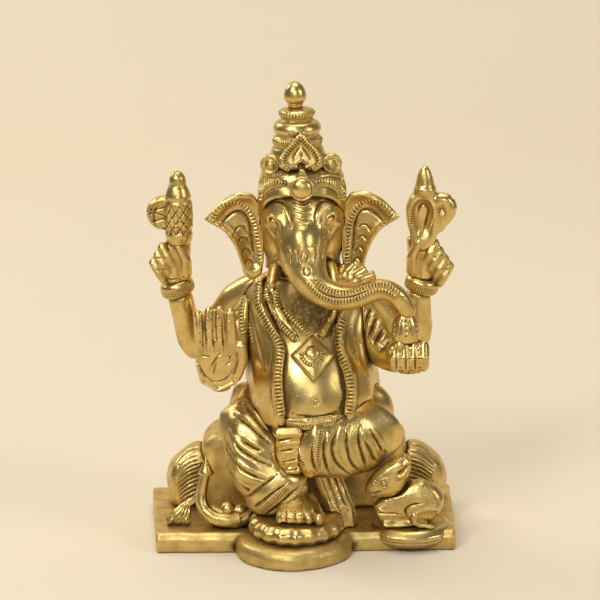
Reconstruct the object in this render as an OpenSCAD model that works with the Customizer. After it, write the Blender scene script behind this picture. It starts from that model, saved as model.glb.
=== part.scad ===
// Seated brass Ganesha: four arms, trunk to the left, right foot on a lotus, mouse beside the knee.
// Millimetres. +Z up, the face looks along -Y. "right" and "left" are the figure's own,
// so right is at -X. The origin is the middle of the plinth's underside.

/* [Plinth] */
// Width of the plinth at the ground
plinth_w = 100; // [96:1:112]
// Depth of the plinth, without its round apron
plinth_d = 50; // [46:1:60]
// Height of the plinth
plinth_h = 6.5; // [5:0.5:9]
// How much further the plinth reaches at its back right corner
plinth_lean = 4.5; // [0:0.5:6]
// Radius of the round apron under the foot
apron_r = 19.4; // [18.4:0.2:22]
// How far the apron stands out in front of the plinth
apron_out = 19; // [17:0.5:20]
// Bevel round the apron's top edge
apron_bevel = 1.8; // [1:0.2:3]

/* [Lotus footrest] */
// Radius of the lotus over its petals
lotus_r = 16.5; // [15:0.5:18]
// Height of the lotus
lotus_h = 6; // [4:0.5:8]
// Number of petals
petals = 18; // [12:2:24]
// Depth of the groove between two petals
petal_groove = 1.1; // [0.5:0.1:1.6]

/* [Seat] */
// Width of the seat block
seat_w = 70; // [66:1:75]
// Depth of the seat block
seat_d = 24; // [20:1:26]
// Height of the seat block
seat_h = 26.5; // [24:0.5:29]
// Radius of the seat's upright corners
seat_corner = 6; // [3:0.5:9]
// How far the seat's ends slope in and down at the top
seat_slope = 4; // [0:0.5:6]
// How far each pleated cushion stands out from the seat
cushion_out = 13; // [9:0.5:15]
// Depth of a cushion's roll from front to back
cushion_d = 19; // [14:1:22]
// Rolls in each cushion
cushion_rolls = 3; // [2:1:4]
// Depth of a cushion's pleats
cushion_pleat = 1; // [0.4:0.1:1.6]

/* [Torso and shawl] */
// Width of the trunk of the body at the belly
torso_w = 41; // [37:1:45]
// Height from the seat to the neck
torso_h = 58; // [54:1:62]
// How far the belly stands out in front of the middle plane
belly_out = 27; // [24:0.5:29]
// How far the back stands out behind the middle plane
back_out = 15; // [12:0.5:17]
// Thickness of the shawl
shawl_t = 2.6; // [1.6:0.2:4]
// Depth of the shawl's hanging folds
shawl_pleat = 0.8; // [0.2:0.1:1.4]
// Width of the shawl's front opening at the waist
shawl_gap = 22; // [18:1:26]
// Width of the shawl's ribbed border
border_w = 3.4; // [2.4:0.2:4.4]
// Height of the waist belt
belt_h = 3.2; // [2:0.2:4.4]

/* [Legs] */
// Distance between the outsides of the two knees
knee_span = 63; // [58:1:68]
// Radius of the hanging leg at the knee
knee_r = 11; // [9:0.5:13]
// Radius of the folded leg
folded_r = 12; // [10:0.5:13]
// Radius of the hanging shin at the hem
hem_r = 8; // [6:0.5:9]
// Depth of the pleats in the cloth on the legs
leg_pleat = 1; // [0.4:0.1:1.6]
// Width of a foot across the toes
foot_w = 17; // [14:0.5:19]

/* [Arms] */
// Radius of an upper arm
arm_r = 5.6; // [4.6:0.2:6.6]
// Radius of a wrist
wrist_r = 4.4; // [3.6:0.2:5.4]
// How far each rear wrist stands out sideways
rear_reach = 41; // [38:0.5:44]
// Height of the rear wrists above the seat
rear_rise = 45; // [42:0.5:48]
// Height of a bracelet
bracelet_h = 5; // [3:0.5:7]
// Width of a palm
palm_w = 15; // [13:0.5:17]
// Length of a straight finger
finger_l = 13; // [11:0.5:15]
// Radius of a finger
finger_r = 1.9; // [1.5:0.1:2.2]

/* [Head] */
// Width of the head between the ears
head_w = 29; // [26:0.5:32]
// Height of the head from the jaw to the crown's brim
head_h = 31; // [28:0.5:34]
// Depth of the head
head_d = 25; // [22:0.5:28]
// Radius of the trunk at its root
trunk_root_r = 7.6; // [6.6:0.2:8.4]
// Radius of the trunk near its tip
trunk_tip_r = 3; // [2.4:0.1:3.8]
// Width of an ear, from the head to its tip
ear_w = 20.5; // [17:0.5:23]
// Height of an ear
ear_h = 31; // [27:0.5:33]
// Thickness of an ear's blade
ear_t = 2.4; // [1.6:0.2:3.4]
// Length of a tusk
tusk_l = 7; // [5:0.5:9]

/* [Crown] */
// Radius of the crown's brim
brim_r = 14.8; // [13.5:0.1:16]
// Height of the crown's cap
cap_h = 12; // [10:0.5:14]
// Radius of the lowest ring above the cap
tier_r = 8.3; // [7:0.1:9.2]
// Height of the ringed stack above the cap
stack_h = 19; // [16:0.5:22]
// Radius of the finial
finial_r = 3.8; // [3:0.1:4.4]
// Height of the finial
finial_h = 8.8; // [8:0.2:11]

/* [Axe and noose] */
// Radius of the axe's socket
axe_r = 4.9; // [4:0.1:5.8]
// Height of the axe above the hand
axe_h = 22.6; // [20:0.2:25]
// Radius of the axe's blade
blade_r = 5.8; // [4.6:0.2:7]
// Width of the noose's loop
noose_w = 11.5; // [9:0.5:13]
// Height of the noose above the fist
noose_h = 28; // [25:0.5:31]

/* [Mouse and bowl] */
// Length of the mouse
mouse_l = 23; // [20:0.5:25]
// Height of the mouse's back above its pad
mouse_h = 15; // [12:0.5:17]
// Width of the mouse's round pad
pad_d = 24; // [21:0.5:27]
// Width of the bowl of sweets
bowl_w = 14; // [12:0.5:16]
// Depth of the bowl, from rim to foot
bowl_h = 6; // [4.5:0.5:8]

/* [Hidden] */
BRASS = [0.80, 0.62, 0.28];
OLD_BRASS = [0.68, 0.50, 0.22];

// Heights and places that follow from the sizes above
hip_z = plinth_h + seat_h;
neck_z = hip_z + torso_h;
belly_x = 4;
foot_x = -3;
apron_y = apron_r - apron_out - plinth_d / 2;
lotus_y = apron_y + 3.6;
lotus_z = plinth_h + lotus_h;
seat_y = plinth_d / 2 - seat_d / 2 - 1;
belt_z = hip_z + 12.5;
pendant_z = belt_z + 23;
head_x = 0.4;
head_y = -2;
chin_z = neck_z - 1.5;
brim_z = chin_z + head_h * 0.84;
cap_z = brim_z + cap_h;
finial_z = cap_z + stack_h;
right_wrist = [-rear_reach, 7, hip_z + rear_rise];
left_wrist = [rear_reach - 2.2, 7, hip_z + rear_rise];
blessing_at = [-27.6, -24, hip_z + 31];
offering_at = [35.2, -25, hip_z + 36];
modak_at = offering_at + [-1.2, 0.4, 10.4];
pad_at = [plinth_w / 2 - 14.7, -plinth_d / 2 - 3.5 + pad_d / 2, plinth_h];
bowl_at = [-plinth_w / 2 + 24.5, 9 - plinth_d / 2, plinth_h];

// ---- Curves and skins ----

function unit(v) = v / norm(v);
function mix(a, b, t) = a * (1 - t) + b * t;
function held(p, i) = p[max(0, min(len(p) - 1, i))];
function scaled(p, k) = [for (q = p) [q[0] * k[0], q[1] * k[1]]];

// A point of the smooth curve through p, between knots i and i + 1
function between(p, i, t) =
    let (a = held(p, i - 1), b = held(p, i), c = held(p, i + 1), d = held(p, i + 2))
    0.5 * (2 * b + (c - a) * t + (2 * a - 5 * b + 4 * c - d) * t * t
        + (3 * b - a - 3 * c + d) * t * t * t);

// The knots p, with a smooth curve's points added between them
function flowing(p, steps) =
    [for (i = [0 : len(p) - 2], s = [0 : steps - 1]) between(p, i, s / steps), p[len(p) - 1]];

// A closed solid through rings that all have the same number of points
module skin(rings) {
    n = len(rings[0]);
    m = len(rings);
    walls = [for (i = [0 : m - 2], j = [0 : n - 1]) let (k = (j + 1) % n)
        each [[i * n + j, (i + 1) * n + j, (i + 1) * n + k], [i * n + j, (i + 1) * n + k, i * n + k]]];
    foot = [for (j = [0 : n - 1]) j];
    top = [for (j = [n - 1 : -1 : 0]) (m - 1) * n + j];
    polyhedron([for (r = rings) each r], concat(walls, [foot, top]));
}

// A station of a limb is [x, y, z, half depth, half width]
function place(s) = [s[0], s[1], s[2]];
function heading(p, i) = unit(place(held(p, i + 1)) - place(held(p, i - 1)));
function moved(s, v, k) = [s[0] + v[0], s[1] + v[1], s[2] + v[2], s[3] * k, s[4] * k];

// The stations p with a rounded end added at each side
function domed(p, lift, arc = [66, 34]) =
    let (a = p[0], z = p[len(p) - 1], ta = heading(p, 0), tz = heading(p, len(p) - 1), m = len(arc) - 1)
    concat(
        [for (q = arc) moved(a, -ta * a[4] * lift * sin(q), cos(q))],
        p,
        [for (i = [m : -1 : 0]) moved(z, tz * z[4] * lift * sin(arc[i]), cos(arc[i]))]);

// Rings round the stations; a pleated limb has every other point drawn in, and twist winds its pleats
function limb_rings(p, side, n, pleat = 0, twist = 0) =
    [for (i = [0 : len(p) - 1])
        let (t = heading(p, i), u = unit(side - (side * t) * t), v = cross(t, u))
        [for (j = [0 : n - 1]) let (q = 360 * j / n + twist * i, k = 1 - pleat * (j % 2))
            place(p[i]) + k * (p[i][3] * cos(q) * u + p[i][4] * sin(q) * v)]];

module limb(p, side = [0, 1, 0], n = 12, steps = 2, lift = 0.8, pleat = 0, twist = 0)
    skin(limb_rings(domed(flowing(p, steps), lift), side, n, pleat, twist));

// Every other station from number a on is drawn in, so that pleats cross the limb
function gathered(p, a, depth) =
    [for (i = [0 : len(p) - 1]) moved(p[i], [0, 0, 0], i >= a && i % 2 == 1 ? 1 - depth : 1)];

// A row of an upright body is [height, x, y, half width, front, back]
function body_rings(rows, n, pleat = 0) =
    [for (r = rows) [for (j = [0 : n - 1]) let (q = 360 * j / n, k = 1 - pleat * (j % 2))
        [r[1] + k * r[3] * cos(q), r[2] + k * (sin(q) < 0 ? r[4] : r[5]) * sin(q), r[0]]]];

// The row of a body at height z, and the y of its front surface at x
function row_at(rows, z, i = 0) =
    i >= len(rows) - 2 || rows[i + 1][0] >= z
    ? let (t = max(0, min(1, (z - rows[i][0]) / (rows[i + 1][0] - rows[i][0])))) mix(rows[i], rows[i + 1], t)
    : row_at(rows, z, i + 1);
function front_y(rows, x, z) =
    let (r = row_at(rows, z)) r[2] - r[4] * sqrt(max(0, 1 - pow((x - r[1]) / r[3], 2)));

// A cord through the points, one convex length after another, each socketed into the last
module cord(points, r, n = 4) {
    m = len(points) - 1;
    for (i = [0 : m - 1]) {
        t = unit(points[i + 1] - points[i]);
        a = concat(points[i] - 0.3 * r * t, [0.85 * r, 0.85 * r]);
        z = concat(points[i + 1], [r, r]);
        tip = concat(points[i + 1] + 0.5 * r * t, [0.5 * r, 0.5 * r]);
        hull() skin(limb_rings(i < m - 1 ? [a, z] : [a, z, tip], [0.31, 0.9, 0.29], n));
    }
}

// A finger or toe, bent once: root, joint, tip
module finger(points, r, fn = 6) {
    hull() {
        translate(points[0]) sphere(r * 1.05, $fn = fn);
        translate(points[1]) sphere(r, $fn = fn);
    }
    hull() {
        translate(points[1]) sphere(r, $fn = fn);
        translate(points[2]) sphere(r * 0.88, $fn = fn);
    }
}

// A turned form whose outside is fluted; a profile point is [radius, height]
module fluted(profile, flutes, depth)
    skin([for (p = profile) [for (j = [0 : 2 * flutes - 1]) let (q = 180 * j / flutes,
        r = p[0] - (j % 2 == 0 ? depth : 0)) [r * cos(q), r * sin(q), p[1]]]]);

// A sheet in relief: the outline, shrunk to centre by k and set out by y, level after level
module relief(outline, centre, levels)
    skin([for (l = levels) [for (p = outline) let (q = mix(centre, p, l[0])) [q[0], -l[1], q[1]]]]);

// ---- Places on a limb ----

// The station s of the way along the smooth limb p, s counted in knots
function station(p, s) = let (i = min(len(p) - 2, floor(s))) between(p, i, s - i);

// A point of the limb's surface: q degrees round from its side direction
function on_limb(p, side, s, q, lift) =
    let (c = station(p, s), e = 0.02, n = len(p) - 1,
        t = unit(place(station(p, min(n, s + e))) - place(station(p, max(0, s - e)))),
        u = unit(side - (side * t) * t), v = cross(t, u))
    place(c) + (c[3] + lift) * cos(q) * u + (c[4] + lift) * sin(q) * v;

// ---- Plinth, lotus, seat, cushions ----

module plinth_form() {
    back = plinth_d / 2;
    intersection() {
        linear_extrude(plinth_h) polygon([
            [-plinth_w / 2, -back], [plinth_w / 2, -back],
            [plinth_w / 2, back], [-plinth_w / 2 - plinth_lean, back]]);
        rotate([90, 0, 90]) linear_extrude(2 * plinth_w, center = true) polygon([
            [-back, 0], [back, 0], [back, plinth_h], [-back + apron_bevel, plinth_h],
            [-back, plinth_h - apron_bevel]]);
    }
    translate([foot_x - 1, apron_y, 0]) rotate_extrude($fn = 72) polygon([
        [0, 0], [apron_r, 0], [apron_r, plinth_h - 1.6 * apron_bevel],
        [apron_r - 0.7 * apron_bevel, plinth_h - 0.4 * apron_bevel], [apron_r - 2 * apron_bevel, plinth_h],
        [0, plinth_h]]);
}

module base_plinth() color(BRASS) plinth_form();

module lotus_form()
    translate([foot_x, lotus_y, plinth_h])
        fluted([[lotus_r - 1.8, 0], [lotus_r, lotus_h * 0.35], [lotus_r - 0.4, lotus_h * 0.7],
            [lotus_r - 2.4, lotus_h]], petals, petal_groove);

module lotus_footrest() color(BRASS) lotus_form();

module seat_slab(inset, height) linear_extrude(height) hull()
    for (x = [-1, 1], y = [-1, 1])
        translate([x * (seat_w / 2 - inset - seat_corner), y * (seat_d / 2 - seat_corner)])
            circle(seat_corner, $fn = 32);

// The seat's ends slope away from its top
module seat_form()
    translate([-0.5, seat_y, plinth_h]) hull() {
        seat_slab(0, seat_h - seat_slope);
        seat_slab(seat_slope, seat_h);
    }

module seat_block() color(OLD_BRASS) seat_form();

// A roll of a cushion runs out from the seat and falls to the plinth
function roll_path(i) =
    let (drop = i * (seat_h - 11) / cushion_rolls,
        out = seat_w / 2 + cushion_out - i * 0.6, r = cushion_d / 2)
    [[seat_w / 2 - 6, seat_y, hip_z - 9 - drop, r, 4.8],
     [seat_w / 2 + 3, seat_y - 1, hip_z - 10.8 - drop, r, 5],
     [out - 4.6, seat_y - 2, hip_z - 15 - drop, r, 5],
     [out - 1.6, seat_y - 2.5, hip_z - 19.6 - drop, r * 0.8, 2.8]];

module cushion(side) color(BRASS) difference() {
    mirror([side < 0 ? 1 : 0, 0, 0]) for (i = [0 : cushion_rolls - 1])
        limb(roll_path(i), [0, 1, 0], 16, 1, 0.5, cushion_pleat / 10);
    seat_form();
    translate([0, 0, plinth_h - 20]) cube([2 * plinth_w, 2 * plinth_d, 40], center = true);
}

module right_cushion() cushion(-1);
module left_cushion() cushion(1);

// ---- Torso, shawl, belt, necklace ----

torso_rows = [for (s = [
    [0.00, 2.0, 0.86, 0.80, 0.90], [0.12, 2.6, 0.98, 0.96, 1.00], [0.30, 3.0, 1.00, 1.00, 1.00],
    [0.45, 2.5, 0.97, 0.90, 1.00], [0.60, 1.5, 0.93, 0.68, 1.00], [0.75, 1.0, 0.90, 0.50, 0.95],
    [0.88, 0.6, 0.72, 0.40, 0.85], [1.00, 0.4, 0.42, 0.32, 0.60]])
    [hip_z + s[0] * torso_h, s[1], 0, s[2] * torso_w / 2, s[3] * belly_out, s[4] * back_out]];

module torso_form() skin(body_rings(torso_rows, 20));
module torso() color(BRASS) torso_form();

// The shawl hangs from the neck over the shoulders and flares to the hips
shawl_flare = [6, 4, 2.6, 2.4, 2.6, 3.2, 5.2, 3.2];
shawl_rows = [for (i = [0 : len(torso_rows) - 1]) let (r = torso_rows[i])
    [r[0], r[1], r[2], r[3] + shawl_flare[i], r[4] + shawl_t, r[5] + shawl_t]];

module shawl_outside() skin(body_rings(shawl_rows, 24, shawl_pleat / torso_w * 2));

// How far each edge of the front opening lies out from its middle, from the waist to the neck, as shares of
// half the opening: the right edge, then the left
shawl_edge_out = [
    [0.85, 0.82, 0.78, 0.62, 0.84, 1.14, 1.11],
    [0.80, 0.92, 0.90, 0.72, 0.76, 0.95, 1.07]];
function shawl_edge(side) =
    [for (i = [0 : 6]) [
        belly_x + (side < 0 ? -0.6 : 1.4) - i * 0.7
            + side * shawl_gap / 2 * shawl_edge_out[side < 0 ? 0 : 1][i],
        belt_z + 1.2 + i * 7.2]];

module shawl_opening() {
    right = shawl_edge(-1);
    left = shawl_edge(1);
    foot = belt_z - belt_h;
    rotate([90, 0, 0]) linear_extrude(2 * belly_out) polygon(concat(
        [[left[0][0], foot], [right[0][0], foot]], right, [for (i = [6 : -1 : 0]) left[i]]));
}

function on_shawl(p, lift) = [p[0], front_y(shawl_rows, p[0], p[1]) - lift, p[1]];

// The ribbed border beside the opening
module shawl_border(side)
    cord([for (p = shawl_edge(side))
        on_shawl([p[0] + side * border_w / 2, min(p[1], neck_z - 2)], -0.4)], border_w / 2, 5);

// The legs pass under the shawl's hem
module shawl_hem_cut()
    translate([-seat_w, -2 * belly_out, hip_z - 1]) cube([2 * seat_w, 2 * belly_out + seat_y, 11]);

module shawl() color(BRASS) difference() {
    union() {
        shawl_outside();
        for (side = [-1, 1]) shawl_border(side);
    }
    torso_form();
    shawl_opening();
    shawl_hem_cut();
    head_form();
    right_leg_form();
    left_leg_form();
    left_foot_form();
    seat_form();
}

// The shawl without its borders, for cutting what meets it
module shawl_form() difference() {
    shawl_outside();
    shawl_opening();
}

// The belt is a band of cords across the belly, a little higher at the left
module belt_form()
    for (k = [-1, 0, 1])
        cord([for (i = [0 : 3]) let (x = belly_x + 1.4 + (i / 3 - 0.5) * (shawl_gap + 3))
            [x, front_y(torso_rows, x, belt_z) - 0.4, belt_z + (x - belly_x) * 0.08 + k * belt_h / 3]],
            belt_h / 2.4);

module waist_belt() color(BRASS) difference() {
    belt_form();
    torso_form();
    shawl_form();
    for (side = [-1, 1]) shawl_border(side);
    left_leg_form();
    left_hem();
    left_foot_form();
}

function on_chest(x, z, lift) = [x, front_y(torso_rows, x, z) - lift, z];

// Two flat collars of doubled cord run from the neck to the pendant
module collar(side)
    for (k = [-1, 1]) cord([for (p = [[11.8, 40.6], [11.2, 36.6], [8.6, 32], [4.4, 26.5]])
        on_chest(1.4 + side * (p[0] + k * 1.2), belt_z + p[1] + k * 0.8, 0.4)], 1.7);

module necklace() color(BRASS) difference() {
    for (side = [-1, 1]) collar(side);
    torso_form();
    shawl_form();
    for (side = [-1, 1]) shawl_border(side);
    head_form();
    pendant_form();
}

// A faceted lozenge with a turned boss
module pendant_form()
    translate([belly_x - 2.4, front_y(torso_rows, belly_x, pendant_z) + 0.9, pendant_z]) rotate([-12, 0, 0]) {
        rotate([90, 0, 0]) linear_extrude(2.6)
            polygon([[0, -7], [6.2, 0.6], [3.4, 5], [-3.4, 5], [-6.2, 0.6]]);
        translate([0, -2.6, 1.8]) rotate([90, 0, 0]) rotate_extrude($fn = 32) polygon([
            [0, 0], [3.2, 0], [2.8, 0.6], [1.8, 0.7], [1.4, 1.1], [0, 1.3]]);
    }

module pendant() color(BRASS) difference() {
    pendant_form();
    torso_form();
}

// ---- Legs and feet ----

right_knee = [belly_x - knee_span / 2 + knee_r - 0.6, -11, hip_z + 4.5];
left_knee = [belly_x + knee_span / 2 - knee_r - 3.2, -11, hip_z + 7];

right_thigh_path = [
    [-7, 5, hip_z + 8, knee_r, knee_r],
    [right_knee[0] + 0.6, right_knee[1] + 9, hip_z + 8, knee_r + 0.6, knee_r + 2.4],
    [right_knee[0], right_knee[1], right_knee[2], knee_r - 0.6, knee_r + 1.4]];

right_shin_path = [
    [right_knee[0] + 0.6, right_knee[1] - 0.6, right_knee[2] + 1.6, knee_r - 1.6, knee_r + 0.8],
    [right_knee[0] + 3.4, right_knee[1] - 6.5, hip_z - 6, hem_r + 1.8, knee_r + 1.4],
    [right_knee[0] + 10, right_knee[1] - 10.5, hip_z - 14.6, hem_r - 1.2, hem_r + 2.2]];

left_leg_path = [
    [8, 5, hip_z + 9, knee_r, knee_r],
    [left_knee[0] - 4, left_knee[1] + 9, hip_z + 8, knee_r, knee_r + 1],
    [left_knee[0], left_knee[1], left_knee[2], knee_r - 0.4, knee_r + 3],
    [left_knee[0] - 7, left_knee[1] - 9, hip_z + 3.6, hem_r, folded_r + 0.8],
    [left_knee[0] - 15, left_knee[1] - 12.4, hip_z + 2.8, hem_r - 2, folded_r - 1.2],
    [left_knee[0] - 20, left_knee[1] - 13.4, hip_z + 3.4, hem_r - 3, folded_r - 2.2]];

module right_leg_form() {
    limb(right_thigh_path, [0, 1, 0], 16, 2, 0.5, leg_pleat / knee_r, 6);
    limb(right_shin_path, [0, 1, 0], 18, 2, 0.7, leg_pleat / hem_r, 6);
}
module left_leg_form()
    skin(limb_rings(domed(gathered(flowing(left_leg_path, 3), 4, leg_pleat / folded_r), 0.5), [0, 1, 0], 14));

// How far a hem stands out from its leg
hem_t = 0.7;

// The hem is a plain cuff with a cord at each edge, over the foot
module right_hem() {
    limb([for (s = [1.45, 1.7, 1.98]) let (c = station(right_shin_path, s))
        concat(place(c), c[3] + hem_t, c[4] + hem_t)], [0, 1, 0], 16, 1, 0.2);
    for (k = [0 : 1]) cord([for (q = [100 : 48 : 292])
        on_limb(right_shin_path, [0, 1, 0], 1.96 - k * 0.36, q, hem_t - 0.2)], 2 * hem_t);
}

module right_leg() color(BRASS) difference() {
    union() {
        right_leg_form();
        right_hem();
    }
    torso_form();
    seat_form();
    plinth_form();
    lotus_form();
    left_leg_form();
    left_foot_form();
}

// A hem band stands behind the folded leg's foot
module left_hem()
    for (k = [0 : 1]) cord([for (q = [105 : 38 : 258])
        on_limb(left_leg_path, [0, 1, 0], 4.8 - k * 0.3, q, 0)], 2.2 * hem_t);

module left_leg() color(BRASS) difference() {
    union() {
        left_leg_form();
        left_hem();
    }
    torso_form();
    seat_form();
}

// Cloth gathered between the legs falls in pleats to the plinth beside the foot
module cloth_fall() color(BRASS) difference() {
    for (k = [0 : 2]) cord([
        [foot_x + 6.6 + k * 2.4, lotus_y + 4.2 + k, hip_z - 1],
        [foot_x + 8.6 + k * 2.5, lotus_y + 3.2 + k, hip_z - 11],
        [foot_x + 12.2 + k * 2.6, lotus_y + 1.8 + k, plinth_h + 6],
        [foot_x + 12.8 + k * 2.6, lotus_y + 1.4 + k, plinth_h - 1]], 3, 5);
    plinth_form();
    lotus_form();
    right_foot_form();
    right_leg_form();
    right_hem();
    left_leg_form();
    seat_form();
    torso_form();
}

// Five toes side by side, the great toe first
toe_r = [2.4, 1.85, 1.75, 1.65, 1.55];
module toes(roots, tips)
    for (i = [0 : 4]) finger([roots[i], mix(roots[i], tips[i], 0.55), tips[i]], toe_r[i]);

right_foot_y = lotus_y - 8;

module right_foot_form() {
    limb([
        [foot_x - 1, lotus_y + 3, lotus_z + 6.5, 4.5, 6],
        [foot_x + 0.4, lotus_y - 3, lotus_z + 4.4, 4, foot_w * 0.42],
        [foot_x + 1.2, right_foot_y, lotus_z + 2.9, 2.9, foot_w * 0.47],
        [foot_x + 1.4, right_foot_y - 2.5, lotus_z + 2.4, 2.4, foot_w * 0.46]], [0, 0, 1], 12, 1, 0.4);
    toes(
        [for (i = [0 : 4]) [foot_x + 1.4 + foot_w * (0.36 - i * 0.185), right_foot_y - 2, lotus_z + 2.2]],
        [for (i = [0 : 4])
            [foot_x + 1.4 + foot_w * (0.37 - i * 0.19), right_foot_y - 5.5 + i * 0.5, lotus_z + toe_r[i]]]);
}

module right_foot() color(BRASS) difference() {
    right_foot_form();
    lotus_form();
    right_leg_form();
    right_hem();
}

left_foot_half = foot_w * 0.47;
left_foot_at = [left_knee[0] - 24, left_knee[1] - 14.6, belt_z - 1.6 - left_foot_half];

// The left foot lies before the shin, its toes one above another
module left_foot_form() {
    limb([
        [left_foot_at[0] + 4.5, left_foot_at[1] + 3.6, left_foot_at[2] + 0.3, 4, 7.4],
        [left_foot_at[0], left_foot_at[1] + 2, left_foot_at[2], 4.2, left_foot_half],
        [left_foot_at[0] - 4, left_foot_at[1] + 2, left_foot_at[2], 3.6, left_foot_half - 0.2]],
        [0, 1, 0], 12, 1, 0.35);
    toes(
        [for (i = [0 : 4]) left_foot_at + [0.6, -0.6, foot_w * (0.36 - i * 0.185)]],
        [for (i = [0 : 4]) left_foot_at + [-5.6 + i * 0.75, -0.4, foot_w * (0.36 - i * 0.19)]]);
}

module left_foot() color(BRASS) difference() {
    left_foot_form();
    left_leg_form();
    torso_form();
}

// ---- Head, ears, trunk, tusks ----

head_rows = [for (s = [
    [-0.10, 0.36, 0.30, 0.60], [0.05, 0.56, 0.36, 0.80], [0.16, 0.84, 0.50, 0.94], [0.32, 0.93, 0.70, 1.02],
    [0.48, 0.95, 0.86, 1.04], [0.62, 0.99, 0.93, 1.04], [0.76, 0.98, 0.90, 1.02], [0.88, 0.88, 0.74, 0.94],
    [1.00, 0.62, 0.46, 0.70]])
    [chin_z + s[0] * head_h, head_x, head_y, s[1] * head_w / 2, s[2] * head_d * 0.58, s[3] * head_d * 0.42]];

function on_face(x, z, lift) = [head_x + x, front_y(head_rows, head_x + x, z) - lift, z];

module head_form() skin(body_rings(head_rows, 16));

// Brow domes, eyes and cheek folds
module face_relief()
    for (side = [-1, 1]) {
        cord([for (p = [[3.6, 13.6], [5, 18.4], [9, 20.8], [12.4, 17.6]])
            on_face(side * p[0], neck_z + p[1], 0)], 1.5);
        hull() for (k = [-1, 1]) translate(on_face(side * (9.3 + k * 1.1), neck_z + 15.4 + k * 1.5, -0.2))
            sphere(1.3, $fn = 8);
        cord([for (p = [[11.8, 2], [8.6, 7.4]]) on_face(side * p[0], neck_z + p[1], 0)], 1.7);
    }

module head() color(BRASS) difference() {
    union() {
        head_form();
        difference() {
            face_relief();
            trunk_form();
            crown_cap_form();
            for (side = [-1, 1]) tusk_form(side);
        }
    }
    torso_form();
}

trunk_path = [
    [head_x - 0.1, -7, neck_z + 21.6, 4, 4],
    [head_x - 0.1, -9.8, neck_z + 17.6, 6.2, 7.8],
    [head_x - 0.1, -12.8, neck_z + 12.5, trunk_root_r, trunk_root_r * 1.16],
    [head_x + 0.8, -17, neck_z + 5.5, trunk_root_r * 0.9, trunk_root_r * 0.98],
    [head_x + 4.6, -22, neck_z - 0.3, trunk_root_r * 0.70, trunk_root_r * 0.72],
    [head_x + 11.4, -25, neck_z - 3.3, trunk_root_r * 0.57, trunk_root_r * 0.58],
    [head_x + 18.8, -26.4, neck_z - 2.3, trunk_root_r * 0.5, trunk_root_r * 0.5],
    [head_x + 25.3, -26.8, neck_z + 0, trunk_root_r * 0.48, trunk_root_r * 0.48],
    [head_x + 30.6, -26.4, neck_z - 2.2, trunk_root_r * 0.45, trunk_root_r * 0.45],
    [modak_at[0] + 0.2, modak_at[1] - 1.2, neck_z - 7, trunk_tip_r + 0.2, trunk_tip_r + 0.2],
    [modak_at[0] + 0.6, modak_at[1] - 0.8, modak_at[2] + 3.2, trunk_tip_r, trunk_tip_r]];

module trunk_form() limb(trunk_path, [0, 1, 0], 14, 2, 0.5);

module trunk() color(BRASS) difference() {
    trunk_form();
    head_form();
    crown_arches();
    modak_form();
    torso_form();
    shawl_form();
}

module tusk_form(side)
    limb([
        [head_x + side * 8.8, -10, neck_z + 3.4, 2.5, 2.5],
        [head_x + side * 9.8, -10 - tusk_l / 2, neck_z + 1.4, 2.2, 2.2],
        [head_x + side * 10.4, -10 - tusk_l, neck_z - 0.4, 1.5, 1.5]], [1, 0, 0], 10, 1, 0.8);

module tusk(side) color(BRASS) difference() {
    tusk_form(side);
    head_form();
    trunk_form();
    torso_form();
    shawl_form();
}

module right_tusk() tusk(-1);
module left_tusk() tusk(1);

// An ear's outline: out along its top to the tip, in under the lobe, up the root
ear_outline = scaled([
    [0, 0.54], [0.01, 0.26], [0.05, 0.06], [0.21, 0], [0.35, 0.06], [0.40, 0.21], [0.50, 0.40],
    [0.66, 0.56], [0.85, 0.65], [1, 0.7], [0.87, 0.80], [0.68, 0.92], [0.42, 1], [0.16, 0.97], [0.03, 0.83]],
    [ear_w, ear_h]);

// An ear is set at the side of the head and turned a little forward
module at_ear(side)
    translate([head_x + side * 12.8, -3, chin_z - 1]) rotate([0, 0, side * -10])
        mirror([side < 0 ? 1 : 0, 0, 0]) children();

// The rim stands forward, and the blade is hollow inside it
module ear_form(side) at_ear(side)
    relief(ear_outline, [ear_w * 0.24, ear_h * 0.62], [
        [0.8, -ear_t * 0.6], [1, 0], [0.97, ear_t * 0.7], [0.84, ear_t * 0.9], [0.72, 0],
        [0.1, -ear_t * 0.2]]);

// Wrinkles cross the blade
module ear_wrinkles(side) at_ear(side)
    for (k = [0 : 3]) cord([for (p = [[0.13, 0.01], [0.40 + k * 0.03, -0.01]])
        [ear_w * p[0], 0.1, ear_h * (p[1] + 0.26 + k * 0.13)]], 0.9);

module ear(side) color(BRASS) difference() {
    union() {
        ear_form(side);
        ear_wrinkles(side);
    }
    shawl_form();
    head_form();
    crown_cap_form();
}

module right_ear() ear(-1);
module left_ear() ear(1);

// ---- Crown ----

cap_rows = [for (s = [
    [-0.45, 0.94, 0.92, 0.86], [0.00, 1.00, 0.98, 0.92], [0.40, 0.985, 0.95, 0.92],
    [0.74, 0.94, 0.88, 0.88], [0.93, 0.84, 0.78, 0.80], [1.00, 0.66, 0.66, 0.66]])
    [brim_z + s[0] * cap_h, head_x, -1, s[1] * brim_r, s[2] * brim_r, s[3] * brim_r]];

function on_cap(x, z, lift) = [head_x + x, front_y(cap_rows, head_x + x, z) - lift, z];
brow_x = brim_r * 0.48;
brow_z = brim_z - 4.4;

// The cap sits on the brow and rises over each eye in an arch
module cap_body() difference() {
    skin(body_rings(cap_rows, 18));
    for (side = [-1, 1]) translate([head_x + side * brow_x, 0, brow_z])
        rotate([90, 0, 0]) linear_extrude(30) scale([1, 1.32]) circle(5.8, $fn = 14);
    translate([head_x - 3, -30, brow_z - 6]) cube([6, 30, 7]);
}

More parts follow.
